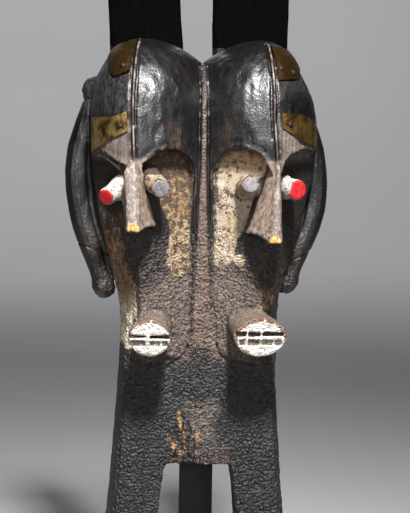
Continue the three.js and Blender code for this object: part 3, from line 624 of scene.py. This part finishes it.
class Paint:
    """The marks that the material reads at the points; u is the distance from the middle."""

    def __init__(self, points, normals, field, bend):
        self.points = points
        self.x, self.y, self.z = points.T
        self.marks = {}
        self.tan = np.zeros(len(points))
        self.loss = np.full(len(points), 0.2)
        self.dust = np.zeros(len(points))
        self.wander = sum(
            field.sample(points, lattice_noise(field, spacing, seed)) * reach
            for spacing, seed, reach in WANDERS
        )
        for head in HEADS:
            self.head, self.u = head, self.x * head["side"]
            self.mine = self.u > 0
            self.paint_face()
            self.paint_nose()
            self.paint_cheek()
            self.paint_eyes()
            self.paint_mouth()
            self.paint_forehead()
        self.paint_rib()
        self.paint_plank()
        self.weather(normals, field, bend)

    def lay(self, name, values, where=None):
        where = self.mine if where is None else where
        mark = self.marks.setdefault(name, np.full(len(where), FAR))
        mark[where] = np.maximum(mark, values)[where]

    def paint_face(self):
        """Kaolin on the inner face, and dust on its lower part."""
        u, y, z = self.u, self.y, self.z
        self.inner = kaolin_patch(self.head, u, y, z)
        loose = smoothstep(VALLEY_HALF + 1, VALLEY_HALF + 7, u) * smoothstep(482, 470, z)
        self.lay("kaolin", self.inner + self.wander * (0.25 + 0.7 * loose))
        top = 402 - (u - 10) * 0.9
        patch = smoothstep(top + 8, top - 16, z) * smoothstep(282, 296, z) * smoothstep(8, 12, u)
        self.dust[self.mine] = (patch * smoothstep(70, 58, u) * smoothstep(-14, -24, y))[self.mine]

    def paint_nose(self):
        """A pale ridge, brown flanks lightened partly by a painted highlight, and a bare tip."""
        u, y, z = self.u, self.y, self.z
        tip_x, tip_y, tip_z = self.head["nose_tip"]
        from_tip = np.sqrt((u - tip_x) ** 2 + ((y - tip_y) / 1.2) ** 2 + ((z - tip_z - 2) / 1.1) ** 2)
        self.lay("raw", TIP_REACH - from_tip)
        down = np.clip((NOSE_TOP - z) / (NOSE_TOP - tip_z), 0, 1)
        middle = self.head["bridge"] + (tip_x - self.head["bridge"]) * down
        half = profile(self.head["ridge_half"], down)
        ahead = 10 - (y + 62 + 32 * down)
        level = np.minimum(z - tip_z + 5, (490 - z) * 0.5)
        self.lay("pale", least(half + 0.6 - np.abs(u - middle), ahead, level))
        # The flanks' grey-brown is partly their worn wood and partly a painted highlight
        self.lay("flank", least(FLANK_REACH - np.abs(u - middle), -y - 50 - 4 * down, level))

    def paint_cheek(self):
        """The cheek outside the keel: a painted strip on the left, an ochre stain on the right."""
        u, y, z, mine = self.u, self.y, self.z, self.mine
        cheek = least(u - profile(KEEL_X, z) + 1, profile(CHEEK_EDGE, z) - u, 4 - y)
        self.lay("recess", least(u - 68, 2 - y, z - 404, (496 - z) * 0.5))
        if self.head is RIGHT:
            self.lay("ochre", np.minimum(spot(u, z, (63, 350), (11, 13)), cheek + 4))
            # The lobe below the right kaolin is tanned, a painted half-shade
            lobe_half_shade = 0.45 * smoothstep(30, 42, u) * (z < 402)
            self.tan[mine] = (0.75 * smoothstep(480, 497, z) + lobe_half_shade)[mine]
            dark = np.exp(-((u - 22) / 8) ** 2 - ((z - 450) / 20) ** 2)
            by_valley, at_foot = smoothstep(15, 10.5, u), smoothstep(400, 382, z)
            self.loss[mine] = (0.24 + 0.1 * dark + 0.12 * by_valley + 0.05 * at_foot)[mine]
            return
        strip = least(u - profile(CHEEK_START, z), cheek, (z - 300) * 0.4, (432 - z) * 0.4)
        on_strip = mine & (strip > self.inner)
        self.lay("kaolin", strip + self.wander * 0.75)
        from_eye = np.sqrt((u - 80) ** 2 + ((y + 44) / 1.3) ** 2 + ((z - 457) / 1.2) ** 2)
        self.lay("white", 12 - from_eye + self.wander * 0.4)
        self.lay("pale", np.minimum(spot(u, z, (77, 465), (13, 20)), -y - 34))
        # Upwards the left kaolin grows tan and loses more paint: its worn ochre, and near the arch partly a
        # painted shade
        self.tan[mine] = (0.4 + 0.6 * smoothstep(400, 450, z) + 0.5 * smoothstep(462, 484, z))[mine]
        self.loss[mine] = (0.32 + 0.07 * smoothstep(450, 480, z) + 0.04 * smoothstep(28, 34, u))[mine]
        # Below nil the tan brightens the strip's foot, partly a painted highlight
        self.tan[on_strip] = profile(CHEEK_TAN_AND_HIGHLIGHT, z)[on_strip]
        self.loss[on_strip] = profile(CHEEK_LOSS, z)[on_strip]

    def paint_eyes(self):
        """The inner peg is kaolin with a lilac end, and the outer one white with a red end."""
        for key, colour in (("inner_eye", "lilac"), ("outer_eye", "red")):
            place = in_frame(self.head, key)
            across, up, out = to_frame(self.points.T, place)
            away = self.head[key]["radius"] + 2 - np.hypot(across, up)
            on_peg = least(away, out + place[4] - 4, 6)
            self.lay(colour, np.minimum(on_peg, (out + 1.2) * 2))
            self.marks["kaolin"][self.mine & (on_peg > -1)] = FAR
            self.marks["flank"][self.mine & (on_peg > 0)] = FAR
            if colour == "red":
                self.lay("peg", least(away, out + place[4] - 2, -1.2 - out))
            else:
                body = least(away + 2, out + place[4] + 6, -2 - out)
                self.lay("kaolin", body)
                on_body = self.mine & (body > -1)
                self.tan[on_body] = self.head["peg_tan"]
                # More kaolin is lost towards the root, darkening the peg's far part as a painted shade
                self.loss[on_body] = (0.28 + self.head["peg_root_shade"] * smoothstep(14, 26, -out))[on_body]

    def paint_mouth(self):
        """The white disc with its brown rim, the gaps between its teeth, and the drum behind it."""
        across, up, out = to_frame(self.points.T, in_frame(self.head, "mouth"))
        half_width, half_height = self.head["mouth"]["half"]
        ring = (1 - np.hypot(across / half_width, up / half_height)) * half_height
        self.lay("white", np.where(out > -2.6, np.minimum(ring, (out + PAINT_DEPTH) * 3), FAR))
        rim = self.head["rim"]["half"] - np.abs(ring - self.head["rim"]["start"]) + 0.14 * (up - 7)
        self.lay("rim", np.where(out > -4, rim, FAR))
        self.lay("drum", np.minimum(ring + 6, out + DRUM_LENGTH) * (out < -1) + FAR * (out >= -1))
        for row in self.head["teeth"]:
            kind = "cell" if row["high"] > 0 else "smudge"
            for cell in row["cells"]:
                gap = -tooth_gap(row, cell, across, up)
                self.lay(kind, np.where((out > -8) & (ring > -1), gap, FAR))

    def paint_forehead(self):
        """The crest of its rib, dust with a painted sheen low outside it and a painted grey sheen above that,
        and a worn patch inside it.
        """
        u, y, z = self.u, self.y, self.z
        crest = forehead_ridge(self.head, z)
        self.lay("crest", least(1.0 - np.abs(u - crest), z - 483, 22 - y))
        outside = u - crest - 2
        low = np.minimum((524 - z) * 0.6, z - 484)
        # Pinkish grey dust on the lower outer forehead, painted lighter as a sheen too
        self.lay("dust_and_sheen", least(outside, (y + 4) * -0.6, low) + self.wander * 0.5)
        patch = spot(u, z, *self.head["worn"])
        self.lay("worn", np.minimum(patch, -y - 20) + self.wander * 0.6)
        # A grey painted sheen on the outer forehead above the brow sheets
        self.lay("painted_sheen", least(outside, 30 - y, (z - 524) * 0.4 - self.head["painted_sheen_edge"]))

    def paint_rib(self):
        """The brown rib between the heads, and the line under the left brow."""
        x, y, z = self.x, self.y, self.z
        inside = profile(RIB_HALF, z) * profile(RIB_SHARE, z) - np.abs(x - profile(RIB_MIDDLE, z))
        self.marks["rib"] = least(inside, 4 - y, (600 - z) * 0.2, (z - 300) * 0.25)
        self.marks["old_rib"] = smoothstep(450, 560, z)
        self.marks["line"] = np.where(x < 0, -tube(self.points.T, BROW_LINE, 1.6), FAR)

    def paint_plank(self):
        """The scuffed patch, the frayed foot and its bare splinters."""
        x, y, z = self.x, self.y, self.z
        self.marks["scuff"] = np.minimum(spot(x, z, (6.5, 223), (17, 21)), -y - 10) + self.wander * 1.6
        frayed = np.minimum(np.minimum(x + 24, 33 - x), np.minimum(206 - z, z - 180) * 0.7)
        self.marks["frayed"] = np.minimum(frayed, -y - 10) + self.wander * 0.7
        for place, size in SPLINTERS:
            self.lay("splinter", spot(x, z, place, size), y < -10)

    def weather(self, normals, field, bend):
        """How tan, lossy, dusty, worn, glossy, grainy and brown the wood is, and where its creases take
        painted shade.
        """
        y, z = self.y, self.z
        convex = field.sample(self.points, bend)
        on_crescent = smoothstep(88, 96, np.abs(self.x)) * smoothstep(-6, 4, y)
        forward = smoothstep(-0.1, -0.4, normals[:, 1])
        self.marks.update({
            "tan": self.tan,
            "loss": self.loss,
            "dust": self.dust,
            "edge": np.clip(convex / FULL_BEND, 0, 1),
            # Concave creases, which the shader blackens as painted shade
            "crease_shade": np.clip(-convex / FULL_BEND, 0, 1),
            "gloss": np.maximum(smoothstep(484, 500, z) * smoothstep(60, 30, y), 0.5 * on_crescent),
            "grainy": smoothstep(440, 400, z) * smoothstep(12, 0, y) * (1 - 0.8 * on_crescent),
            "brown": smoothstep(262, 310, z) * smoothstep(430, 380, z) * forward,
        })


def add_carving():
    field, bend = carved_field()
    piece = linked_object("carved_body", mesh_of("carved_body", *field.surface()))
    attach(piece, "root")
    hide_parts("mask_body")
    triangle_count = len(piece.data.polygons) * 2
    if triangle_count > FACE_LIMIT:
        piece.modifiers.new("decimate", "DECIMATE").ratio = FACE_LIMIT / triangle_count
        depsgraph = bpy.context.evaluated_depsgraph_get()
        fewer = bpy.data.meshes.new_from_object(piece.evaluated_get(depsgraph))
        piece.modifiers.clear()
        piece.data = fewer
    mesh = piece.data
    points = read_all(mesh.vertices, "co") / np.float32(MM)
    normals = field.slope(points)
    for name, values in Paint(points, normals, field, bend).marks.items():
        attribute = mesh.attributes.new(name, "FLOAT", "POINT")
        attribute.data.foreach_set("value", np.ascontiguousarray(values, np.float32))
    mesh.shade_smooth()
    mesh.normals_split_custom_set_from_vertices(normals.tolist())
    mesh.materials.append(wood_material())
    # The boards take a near-black material without reflections, a painted shade
    mesh.materials.append(plain_material(*BOARD, **{"Specular IOR Level": 0.05}))
    _, y, z = read_all(mesh.polygons, "center").T / np.float32(MM)
    on_board = (z > BOARD_FOOT) & (y > BOARD_FRONT)
    mesh.polygons.foreach_set("material_index", on_board.astype(np.int32))




# Materials
class Shader:
    """A material's node tree, built up by short calls."""

    def __init__(self, name):
        self.material = bpy.data.materials.new(name)
        self.material.use_nodes = True
        self.tree = self.material.node_tree
        self.surface = self.tree.nodes["Principled BSDF"]
        self.place = self.node("ShaderNodeTexCoord", "Object")

    def node(self, kind, output, inputs=None, **settings):
        """One output of a new node with the given inputs and settings."""
        node = self.tree.nodes.new(kind)
        for name, value in settings.items():
            setattr(node, name, value)
        for name, value in (inputs or {}).items():
            self.feed(node.inputs[name], value)
        return node.outputs[output]

    def feed(self, socket, value):
        if isinstance(value, bpy.types.NodeSocket):
            self.tree.links.new(value, socket)
        elif socket.type == "RGBA":
            socket.default_value = (*value, 1)
        else:
            socket.default_value = value

    def set(self, name, value):
        self.feed(self.surface.inputs[name], value)

    def mark(self, name):
        return self.node("ShaderNodeAttribute", "Fac", attribute_name=name)

    def math(self, operation, *values):
        return self.node("ShaderNodeMath", "Value", dict(enumerate(values)), operation=operation)

    def most(self, *values):
        """The greatest of several values."""
        result = values[0]
        for value in values[1:]:
            result = self.math("MAXIMUM", result, value)
        return result

    def stretched(self, scale):
        if scale is None:
            return self.place
        return self.node("ShaderNodeMapping", "Vector", {"Vector": self.place, "Scale": scale})

    def noise(self, size, detail=2.0, stretch=None, rough=0.5, distort=0.0):
        """Noise with grains of a size in metres, longer along an axis where stretch is under 1."""
        inputs = {"Vector": self.stretched(stretch), "Scale": 1 / size}
        inputs.update({"Detail": detail, "Roughness": rough, "Distortion": distort})
        return self.node("ShaderNodeTexNoise", "Fac", inputs)

    def step(self, value, low, high):
        """0 below low and 1 above high, with a smooth rise between them."""
        inputs = {"Value": value, "From Min": low, "From Max": high}
        return self.node("ShaderNodeMapRange", "Result", inputs, interpolation_type="SMOOTHSTEP")

    def between(self, part, low, high):
        return self.node("ShaderNodeMapRange", "Result", {"Value": part, "To Min": low, "To Max": high})

    def mix(self, part, first, second, kind="FLOAT"):
        return self.node("ShaderNodeMix", "Result", {"Factor": part, "A": first, "B": second}, data_type=kind)

    def blend(self, part, first, second):
        return self.mix(part, first, second, "RGBA")

    def bump(self, height, distance, strength=1.0, under=None):
        inputs = {"Height": height, "Distance": distance, "Strength": strength}
        if under is not None:
            inputs["Normal"] = under
        return self.node("ShaderNodeBump", "Normal", inputs)


# Colours of the wood and its paint
BLACK = (0.003, 0.003, 0.0034)
SOOT_BROWN = (0.013, 0.009, 0.007)
PATINA_BROWN = (0.045, 0.028, 0.02)
# A painted highlight: the light grey on the tops of the plank's crust
CRUST_HIGHLIGHT_GREY = (0.044, 0.04, 0.039)
WORN_BROWN = (0.1, 0.06, 0.038)
DUST, DUST_PIT = (0.215, 0.157, 0.127), (0.075, 0.053, 0.042)
CREAM, BRIGHT_CREAM = (0.47, 0.39, 0.295), (0.86, 0.75, 0.6)
BARE_DARK, BARE_BROWN = (0.022, 0.014, 0.01), (0.1, 0.062, 0.036)
DIRT = (0.12, 0.07, 0.04)
STAIN = (0.42, 0.28, 0.14)
TAN = (0.27, 0.155, 0.065)
ORANGE = (0.36, 0.155, 0.045)
OCHRE = (0.34, 0.155, 0.05)
CHALK = (0.93, 0.87, 0.79)

# Colours of the brass and the paper
# The left brow's brighter brass is a painted highlight
BRASS, BRASS_PAINTED_HIGHLIGHT = (0.4, 0.25, 0.08), (0.78, 0.52, 0.19)
CROWN_BRASS, BRASS_BROWN, BRASS_SPOT = (0.11, 0.062, 0.02), (0.1, 0.052, 0.016), (0.035, 0.02, 0.01)
PAPER, PALE_PAPER = (0.46, 0.46, 0.47), (0.5, 0.5, 0.51)

# Plain materials: grain, its low and high step, two colours, roughness, and the noise and size of the relief
# The boards behind the heads: near-black and nearly without reflection, a painted shade
BOARD = (
    "board_painted_shade", (0.003, 4, (1, 1, 0.1), 0.6), (0.4, 0.65),
    ((0.0006, 0.0006, 0.0006), (0.0016, 0.0014, 0.0013)),
    (0.85, 1.0), (0.003, 4, (1, 1, 0.1), 0.6), (0.0006, 0.8),
)
IRON = (
    "rusted_iron", (0.0018, 3), (0.45, 0.65), ((0.035, 0.03, 0.028), (0.11, 0.045, 0.022)),
    (0.4, 0.7), (0.0018, 3), (0.0004, 1.0),
)
STAND = (
    "stand_paint", (0.03, 3), (0.4, 0.65), ((0.007, 0.007, 0.008), (0.014, 0.013, 0.013)),
    (0.48, 0.62), (0.0012, 1), (0.0001, 0.5),
)

# The wood's noises: their grains' size in metres, detail, stretch, roughness and distortion
NOISES = {
    "fine": (0.0016, 3),
    "grain": (0.0022, 4, (1, 1, 0.12), 0.6),
    "streaks": (0.006, 3, (1, 1, 0.08), 0.55, 0.4),
    "patches": (0.02, 3),
    "specks": (0.0014, 2, None, 0.7),
    "blots": (0.0056, 3, None, 0.6),
    "crust": (0.0027, 1, None, 0.5, 0.1),
    "stipple": (0.0022, 2, None, 0.6),
    "nicks": (0.0035, 2, (0.35, 1, 1.3), 0.6),
    "lengths": (0.009, 3, (1, 1, 0.5), 0.6),
    "ragged": (0.0045, 4, None, 0.7),
}
BROKEN = ("specks", 0.62, "blots")
FLAKES = ("specks", 0.3, "blots")
RAGGED_REACH = 9.0
FACET_SIZE, FACET_STRETCH = 0.0075, (1, 1, 0.42)

# How high the wood's relief and its paint are, in metres
RELIEF = {"crust": 0.0044, "facets": 0.0016, "stipple": 0.0016, "fine": 0.0006, "grain": 0.0005}
PAINT_HEIGHT = 0.0004


class WoodShader(Shader):
    """The carving's shader, with its noises and the covers of the paints it has laid."""

    def __init__(self, name):
        super().__init__(name)
        self.noises = {key: self.noise(*settings) for key, settings in NOISES.items()}
        self.noises["broken"] = self.pattern(BROKEN)
        shifted = self.math("SUBTRACT", self.noises["ragged"], 0.5)
        self.ragged = self.math("MULTIPLY", shifted, RAGGED_REACH)
        self.covers = {}

    def pattern(self, noise):
        """A noise by its name, or a mixture of two."""
        if isinstance(noise, str):
            return self.noises[noise]
        first, share, second = noise
        rest = self.math("MULTIPLY", self.noises[second], 1 - share)
        return self.math("MULTIPLY_ADD", self.noises[first], share, rest)

    def stepped(self, noise, low, high):
        return self.step(self.pattern(noise), low, high)

    def flecks(self, noise, low, high, first, second):
        return self.blend(self.stepped(noise, low, high), first, second)

    def over(self, colour, cover, strength, look):
        return self.blend(self.math("MULTIPLY", cover, strength), colour, look)

    def painted(self, mark, edge, ragged):
        """The cover of a painted mark, kept by its name."""
        distance = self.math("MULTIPLY_ADD", self.ragged, ragged, self.mark(mark))
        self.covers[mark] = self.step(distance, *edge)
        return self.covers[mark]

    def lay(self, colour, mark, edge, ragged, gaps, strength, look):
        cover = self.painted(mark, edge, ragged)
        if gaps:
            cover = self.math("MULTIPLY", cover, self.stepped(*gaps))
        if isinstance(strength, tuple):
            strength = self.between(self.mark(strength[0]), *strength[1:])
        return self.over(colour, cover, strength, look if len(look) == 3 else self.flecks(*look))


def patina(s):
    """Black patina with soot, brown in places, worn at its edges, and a painted grey highlight on the tops of
    its crust.
    """
    soot = s.between(s.mark("gloss"), 0.8, 0.3)
    colour = s.over(BLACK, s.stepped("streaks", 0.45, 0.72), soot, SOOT_BROWN)
    colour = s.over(colour, s.stepped("patches", 0.5, 0.7), 0.6, SOOT_BROWN)
    colour = s.over(colour, s.mark("brown"), s.stepped("blots", 0.35, 0.62), PATINA_BROWN)
    worn_edge = s.math("MULTIPLY", s.step(s.mark("edge"), 0.35, 0.95), s.stepped("grain", 0.47, 0.64))
    colour = s.over(colour, worn_edge, 0.8, WORN_BROWN)
    # The crust's high points turn grey, a painted highlight
    crust = s.math("MULTIPLY", s.stepped("crust", 0.56, 0.7), s.mark("grainy"))
    return s.over(colour, crust, 0.5, CRUST_HIGHLIGHT_GREY)


def dusted(s, colour):
    thinned = s.between(s.stepped("blots", 0.3, 0.6), 0.55, 1.0)
    dust = s.math("MULTIPLY", s.mark("dust"), thinned)
    return s.over(colour, dust, 0.95, s.flecks("stipple", 0.38, 0.6, DUST_PIT, DUST))


def kaolined(s, colour):
    """Cream kaolin, tan in patches, with flakes and dots of it gone."""
    cover = s.painted("kaolin", (-0.4, 0.6), 0.55)
    missing = s.step(s.math("ADD", s.mark("loss"), s.pattern(FLAKES)), 0.8, 0.86)
    dots = s.math("MULTIPLY", s.stepped("fine", 0.6, 0.68), 0.8)
    there = s.math("SUBTRACT", 1.0, s.math("MAXIMUM", missing, dots))
    s.covers["whole kaolin"] = s.math("MULTIPLY", cover, there)
    tint = s.math("MULTIPLY_ADD", s.noises["patches"], 1.4, -1.5)
    tint = s.math("MULTIPLY_ADD", s.noises["blots"], 1.7, tint)
    tint = s.math("ADD", s.mark("tan"), tint)
    look = s.blend(s.step(tint, -0.1, 0.5), CREAM, STAIN)
    look = s.blend(s.step(tint, 0.5, 1.0), look, TAN)
    look = s.blend(s.step(s.math("MULTIPLY", tint, -1.0), 0.2, 0.7), look, BRIGHT_CREAM)
    look = s.blend(s.step(tint, 1.0, 1.6), look, ORANGE)
    dirt = s.blend(s.step(tint, 0.0, 1.0), STAIN, DIRT)
    look = s.over(look, s.stepped("specks", 0.46, 0.62), 0.55, dirt)
    clean = s.step(s.math("SUBTRACT", 1.0, s.noises["fine"]), 0.52, 0.66)
    look = s.over(look, clean, 0.45, CREAM)
    colour = s.blend(cover, colour, s.flecks("specks", 0.4, 0.6, BARE_DARK, BARE_BROWN))
    return s.blend(s.covers["whole kaolin"], colour, look)


def chalked(s, colour):
    """White chalk, stained in specks, on the mouths and beside the left outer eye."""
    cover = s.painted("white", (-0.2, 0.8), 0.3)
    s.covers["white"] = s.math("MULTIPLY", cover, s.stepped(BROKEN, 0.3, 0.4))
    look = s.flecks("patches", 0.55, 0.75, CHALK, CREAM)
    look = s.over(look, s.stepped("specks", 0.56, 0.7), 0.8, STAIN)
    return s.blend(s.covers["white"], colour, look)


# What lies on the wood, from the lowest up: mark, edge in millimetres, raggedness, gaps, strength and look. A
# noise has a low and a high step and may be mixed, as (name, share, name); a look may be a noise and its two
# colours; a strength may follow a mark, as (mark, strength at 0, strength at 1).
WOOD_LAYERS = (
    ("worn", (-5, 9), 1.4, (("grain", 0.6, "blots"), 0.38, 0.62), 0.5, (0.13, 0.085, 0.062)),
    # A grey painted sheen on the outer foreheads
    ("painted_sheen", (-1, 6), 1, ("grain", 0.36, 0.64), 0.9, (0.052, 0.05, 0.05)),
    # Dust on the lower outer foreheads, its light colour partly a painted sheen
    (
        "dust_and_sheen", (-2, 8), 1, None, 0.9,
        (("grain", 0.5, "specks"), 0.4, 0.6, (0.1, 0.078, 0.068), (0.3, 0.235, 0.205)),
    ),
    ("recess", (-2, 5), 1, (BROKEN, 0.44, 0.58), 0.7, (0.055, 0.038, 0.026)),
    dusted,
    ("drum", (-1, 4), 1, None, 0.85, (BROKEN, 0.42, 0.6, WORN_BROWN, (0.36, 0.29, 0.235))),
    (
        "rib", (-1.2, 1.4), 0.2, None, ("old_rib", 0.9, 0.22),
        (("nicks", 0.5, "specks"), 0.42, 0.56, (0.07, 0.042, 0.031), (0.25, 0.165, 0.125)),
    ),
    (
        "crest", (-0.3, 0.5), 0.06, None, 0.9,
        ("lengths", 0.44, 0.58, (0.08, 0.048, 0.036), (0.32, 0.235, 0.19)),
    ),
    ("line", (-0.3, 0.6), 0.1, (BROKEN, 0.38, 0.5), 0.9, (0.5, 0.4, 0.32)),
    # Nose flanks: grey-brown, partly worn wood and partly a painted highlight
    (
        "flank", (-1, 3), 0.5, None, 0.95,
        (("grain", 0.5, "blots"), 0.42, 0.56, (0.17, 0.115, 0.085), (0.36, 0.265, 0.205)),
    ),
    ("frayed", (-2, 5), 1, (("grain", 0.4, "broken"), 0.46, 0.58), 0.7, (0.17, 0.115, 0.095)),
    (
        "scuff", (-5, 8), 1.3, (BROKEN, 0.36, 0.5), 1,
        (("grain", 0.3, "blots"), 0.38, 0.6, (0.05, 0.038, 0.031), (0.17, 0.135, 0.108)),
    ),
    ("splinter", (-0.8, 1.2), 1, ("grain", 0.38, 0.52), 1, ("specks", 0.42, 0.62, OCHRE, (0.6, 0.32, 0.12))),
    ("ochre", (-1, 3), 1, (BROKEN, 0.43, 0.51), 0.8, ("blots", 0.42, 0.62, TAN, STAIN)),
    kaolined,
    (
        "pale", (-0.6, 1.6), 0.5, (("grain", 0.5, "broken"), 0.38, 0.52), 0.92,
        (("grain", 0.55, "blots"), 0.49, 0.57, (0.095, 0.068, 0.052), (0.3, 0.244, 0.204)),
    ),
    chalked,
    ("peg", (-0.2, 0.8), 0.3, None, 1, (BROKEN, 0.44, 0.6, (0.66, 0.62, 0.56), (0.18, 0.155, 0.135))),
    ("rim", (-0.3, 0.5), 0.15, ("blots", 0.28, 0.42), 0.9, (0.15, 0.065, 0.028)),
    ("cell", (-0.3, 0.3), 0.12, None, 1, ("specks", 0.45, 0.65, SOOT_BROWN, OCHRE)),
    (
        "smudge", (-0.5, 0.6), 0.2, (BROKEN, 0.36, 0.5), 1,
        ("specks", 0.42, 0.62, (0.1, 0.07, 0.05), (0.42, 0.33, 0.24)),
    ),
    ("lilac", (-0.3, 0.4), 0.2, None, 1, (BROKEN, 0.42, 0.6, (0.3, 0.27, 0.28), (0.15, 0.125, 0.12))),
    ("red", (-0.2, 0.4), 0.15, None, 1, (BROKEN, 0.46, 0.6, (0.62, 0.004, 0.012), (0.3, 0.003, 0.008))),
    ("raw", (-0.6, 1.0), 0.5, None, 1, ("grain", 0.42, 0.65, (0.78, 0.42, 0.15), OCHRE)),
)


def wood_roughness(s):
    """Glossy foreheads, plain lower parts, and dull and matt paint."""
    streaks = s.noises["streaks"]
    rough = s.mix(s.mark("gloss"), s.between(streaks, 0.52, 0.62), s.between(streaks, 0.35, 0.43))
    dull = s.most(s.covers["scuff"], s.covers["flank"], s.covers["dust_and_sheen"], s.mark("dust"))
    matt = s.most(*(s.covers[name] for name in ("kaolin", "white", "raw", "lilac", "peg")))
    return s.mix(matt, s.mix(dull, rough, 0.6), 0.85)


def wood_relief(s):
    """Crust on the plank, facets on the foreheads, stippled dust, and fine grain all over."""
    gloss, grainy = s.mark("gloss"), s.mark("grainy")
    inputs = {"Vector": s.stretched(FACET_STRETCH), "Scale": 1 / FACET_SIZE}
    facets = s.node("ShaderNodeTexVoronoi", "Distance", inputs, feature="SMOOTH_F1")
    calm = s.math("MULTIPLY_ADD", s.most(gloss, grainy), -0.55, 0.7)
    strengths = {
        "crust": s.math("MULTIPLY_ADD", grainy, 0.85, 0.05),
        "facets": s.math("MULTIPLY_ADD", gloss, 0.65, 0.05),
        "stipple": s.most(s.mark("dust"), s.covers["rib"], s.math("MULTIPLY", gloss, 0.3)),
        "fine": calm,
        "grain": calm,
    }
    normal = None
    for name, height in RELIEF.items():
        normal = s.bump({**s.noises, "facets": facets}[name], height, strengths[name], normal)
    return s.bump(s.covers["whole kaolin"], PAINT_HEIGHT, 1.0, normal)


def wood_material():
    """Black patina over brown wood, with paint and bare wood where the marks say so, and painted shade in its
    creases.
    """
    s = WoodShader("carved_wood_patina")
    colour = patina(s)
    for layer in WOOD_LAYERS:
        colour = layer(s, colour) if callable(layer) else s.lay(colour, *layer)
    # Concave creases are blackened here, a painted shade
    s.set("Base Color", s.over(colour, s.step(s.mark("crease_shade"), 0.2, 0.7), 0.75, BLACK))
    s.set("Roughness", wood_roughness(s))
    s.set("Specular IOR Level", 0.8)
    s.set("Normal", wood_relief(s))
    return s.material


def plain_material(name, grain, steps, colours, roughness, bumps, relief, **settings):
    """A material whose grain parts two colours, with a relief."""
    s = Shader(name)
    noise = s.noise(*grain)
    s.set("Base Color", s.blend(s.step(noise, *steps), *colours))
    s.set("Roughness", s.between(noise, *roughness))
    s.set("Normal", s.bump(s.noise(*bumps), *relief))
    for socket, value in settings.items():
        s.set(socket, value)
    return s.material


def brass_material():
    """Dull sheet brass, brown on the crowns and brightest on the left brow, whose brighter brass is a painted
    highlight.
    """
    s = Shader("tarnished_brass")
    clouds = s.noise(0.012, 4, None, 0.6)
    spots = s.noise(0.003, 3)
    across, height = (s.node("ShaderNodeSeparateXYZ", axis, {"Vector": s.place}) for axis in "XZ")
    # The left brow's brass is made brighter than the right's, a painted highlight
    on_brow = s.step(height, 0.565, 0.545)
    on_left = s.step(across, 0.02, -0.02)
    brow = s.blend(on_left, BRASS, BRASS_PAINTED_HIGHLIGHT)
    bright = s.blend(on_brow, CROWN_BRASS, brow)
    colour = s.blend(s.step(clouds, 0.36, 0.66), bright, BRASS_BROWN)
    colour = s.blend(s.math("MULTIPLY", s.step(spots, 0.58, 0.74), 0.5), colour, BRASS_SPOT)
    s.set("Base Color", colour)
    s.set("Metallic", 0.9)
    s.set("Roughness", s.between(clouds, 0.32, 0.55))
    normal = s.bump(s.noise(0.009, 2), 0.0012)
    s.set("Normal", s.bump(spots, 0.0003, 0.6, normal))
    return s.material


def add_stage():
    """A pale floor that sweeps up into a backdrop."""
    s = Shader("studio_paper")
    clouds = s.noise(0.5, 2)
    s.set("Base Color", s.blend(clouds, PAPER, PALE_PAPER))
    s.set("Roughness", 0.85)
    line = [(SWEEP_FRONT, 0.0)]
    for i in range(SWEEP_STEPS + 1):
        turn = math.pi / 2 * i / SWEEP_STEPS
        y = SWEEP_BACK - SWEEP_RADIUS + SWEEP_RADIUS * math.sin(turn)
        line.append((y, SWEEP_RADIUS - SWEEP_RADIUS * math.cos(turn)))
    line.append((SWEEP_BACK, SWEEP_TOP))
    points = np.array([(side * SWEEP_WIDTH, y, z) for y, z in line for side in (-1, 1)])
    faces = np.array([(2 * i, 2 * i + 1, 2 * i + 3, 2 * i + 2) for i in range(len(line) - 1)])
    sweep = linked_object("studio_sweep", mesh_of("studio_sweep", points / MM, faces))
    sweep.data.shade_smooth()
    sweep.data.materials.append(s.material)


def dress_metal():
    """The brass sheets, the nails and the stand take their finishes."""
    iron = plain_material(*IRON, Metallic=0.7)
    finishes = {"brass": brass_material(), "nail": iron, "stand": plain_material(*STAND)}
    for name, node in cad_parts.items():
        finish = finishes.get(name.split("_")[0])
        if finish:
            node.data.materials.clear()
            node.data.materials.append(finish)


bpy.context.scene.view_settings.view_transform = "Standard"
add_camera()
add_lights()
add_stage()
add_carving()
dress_metal()
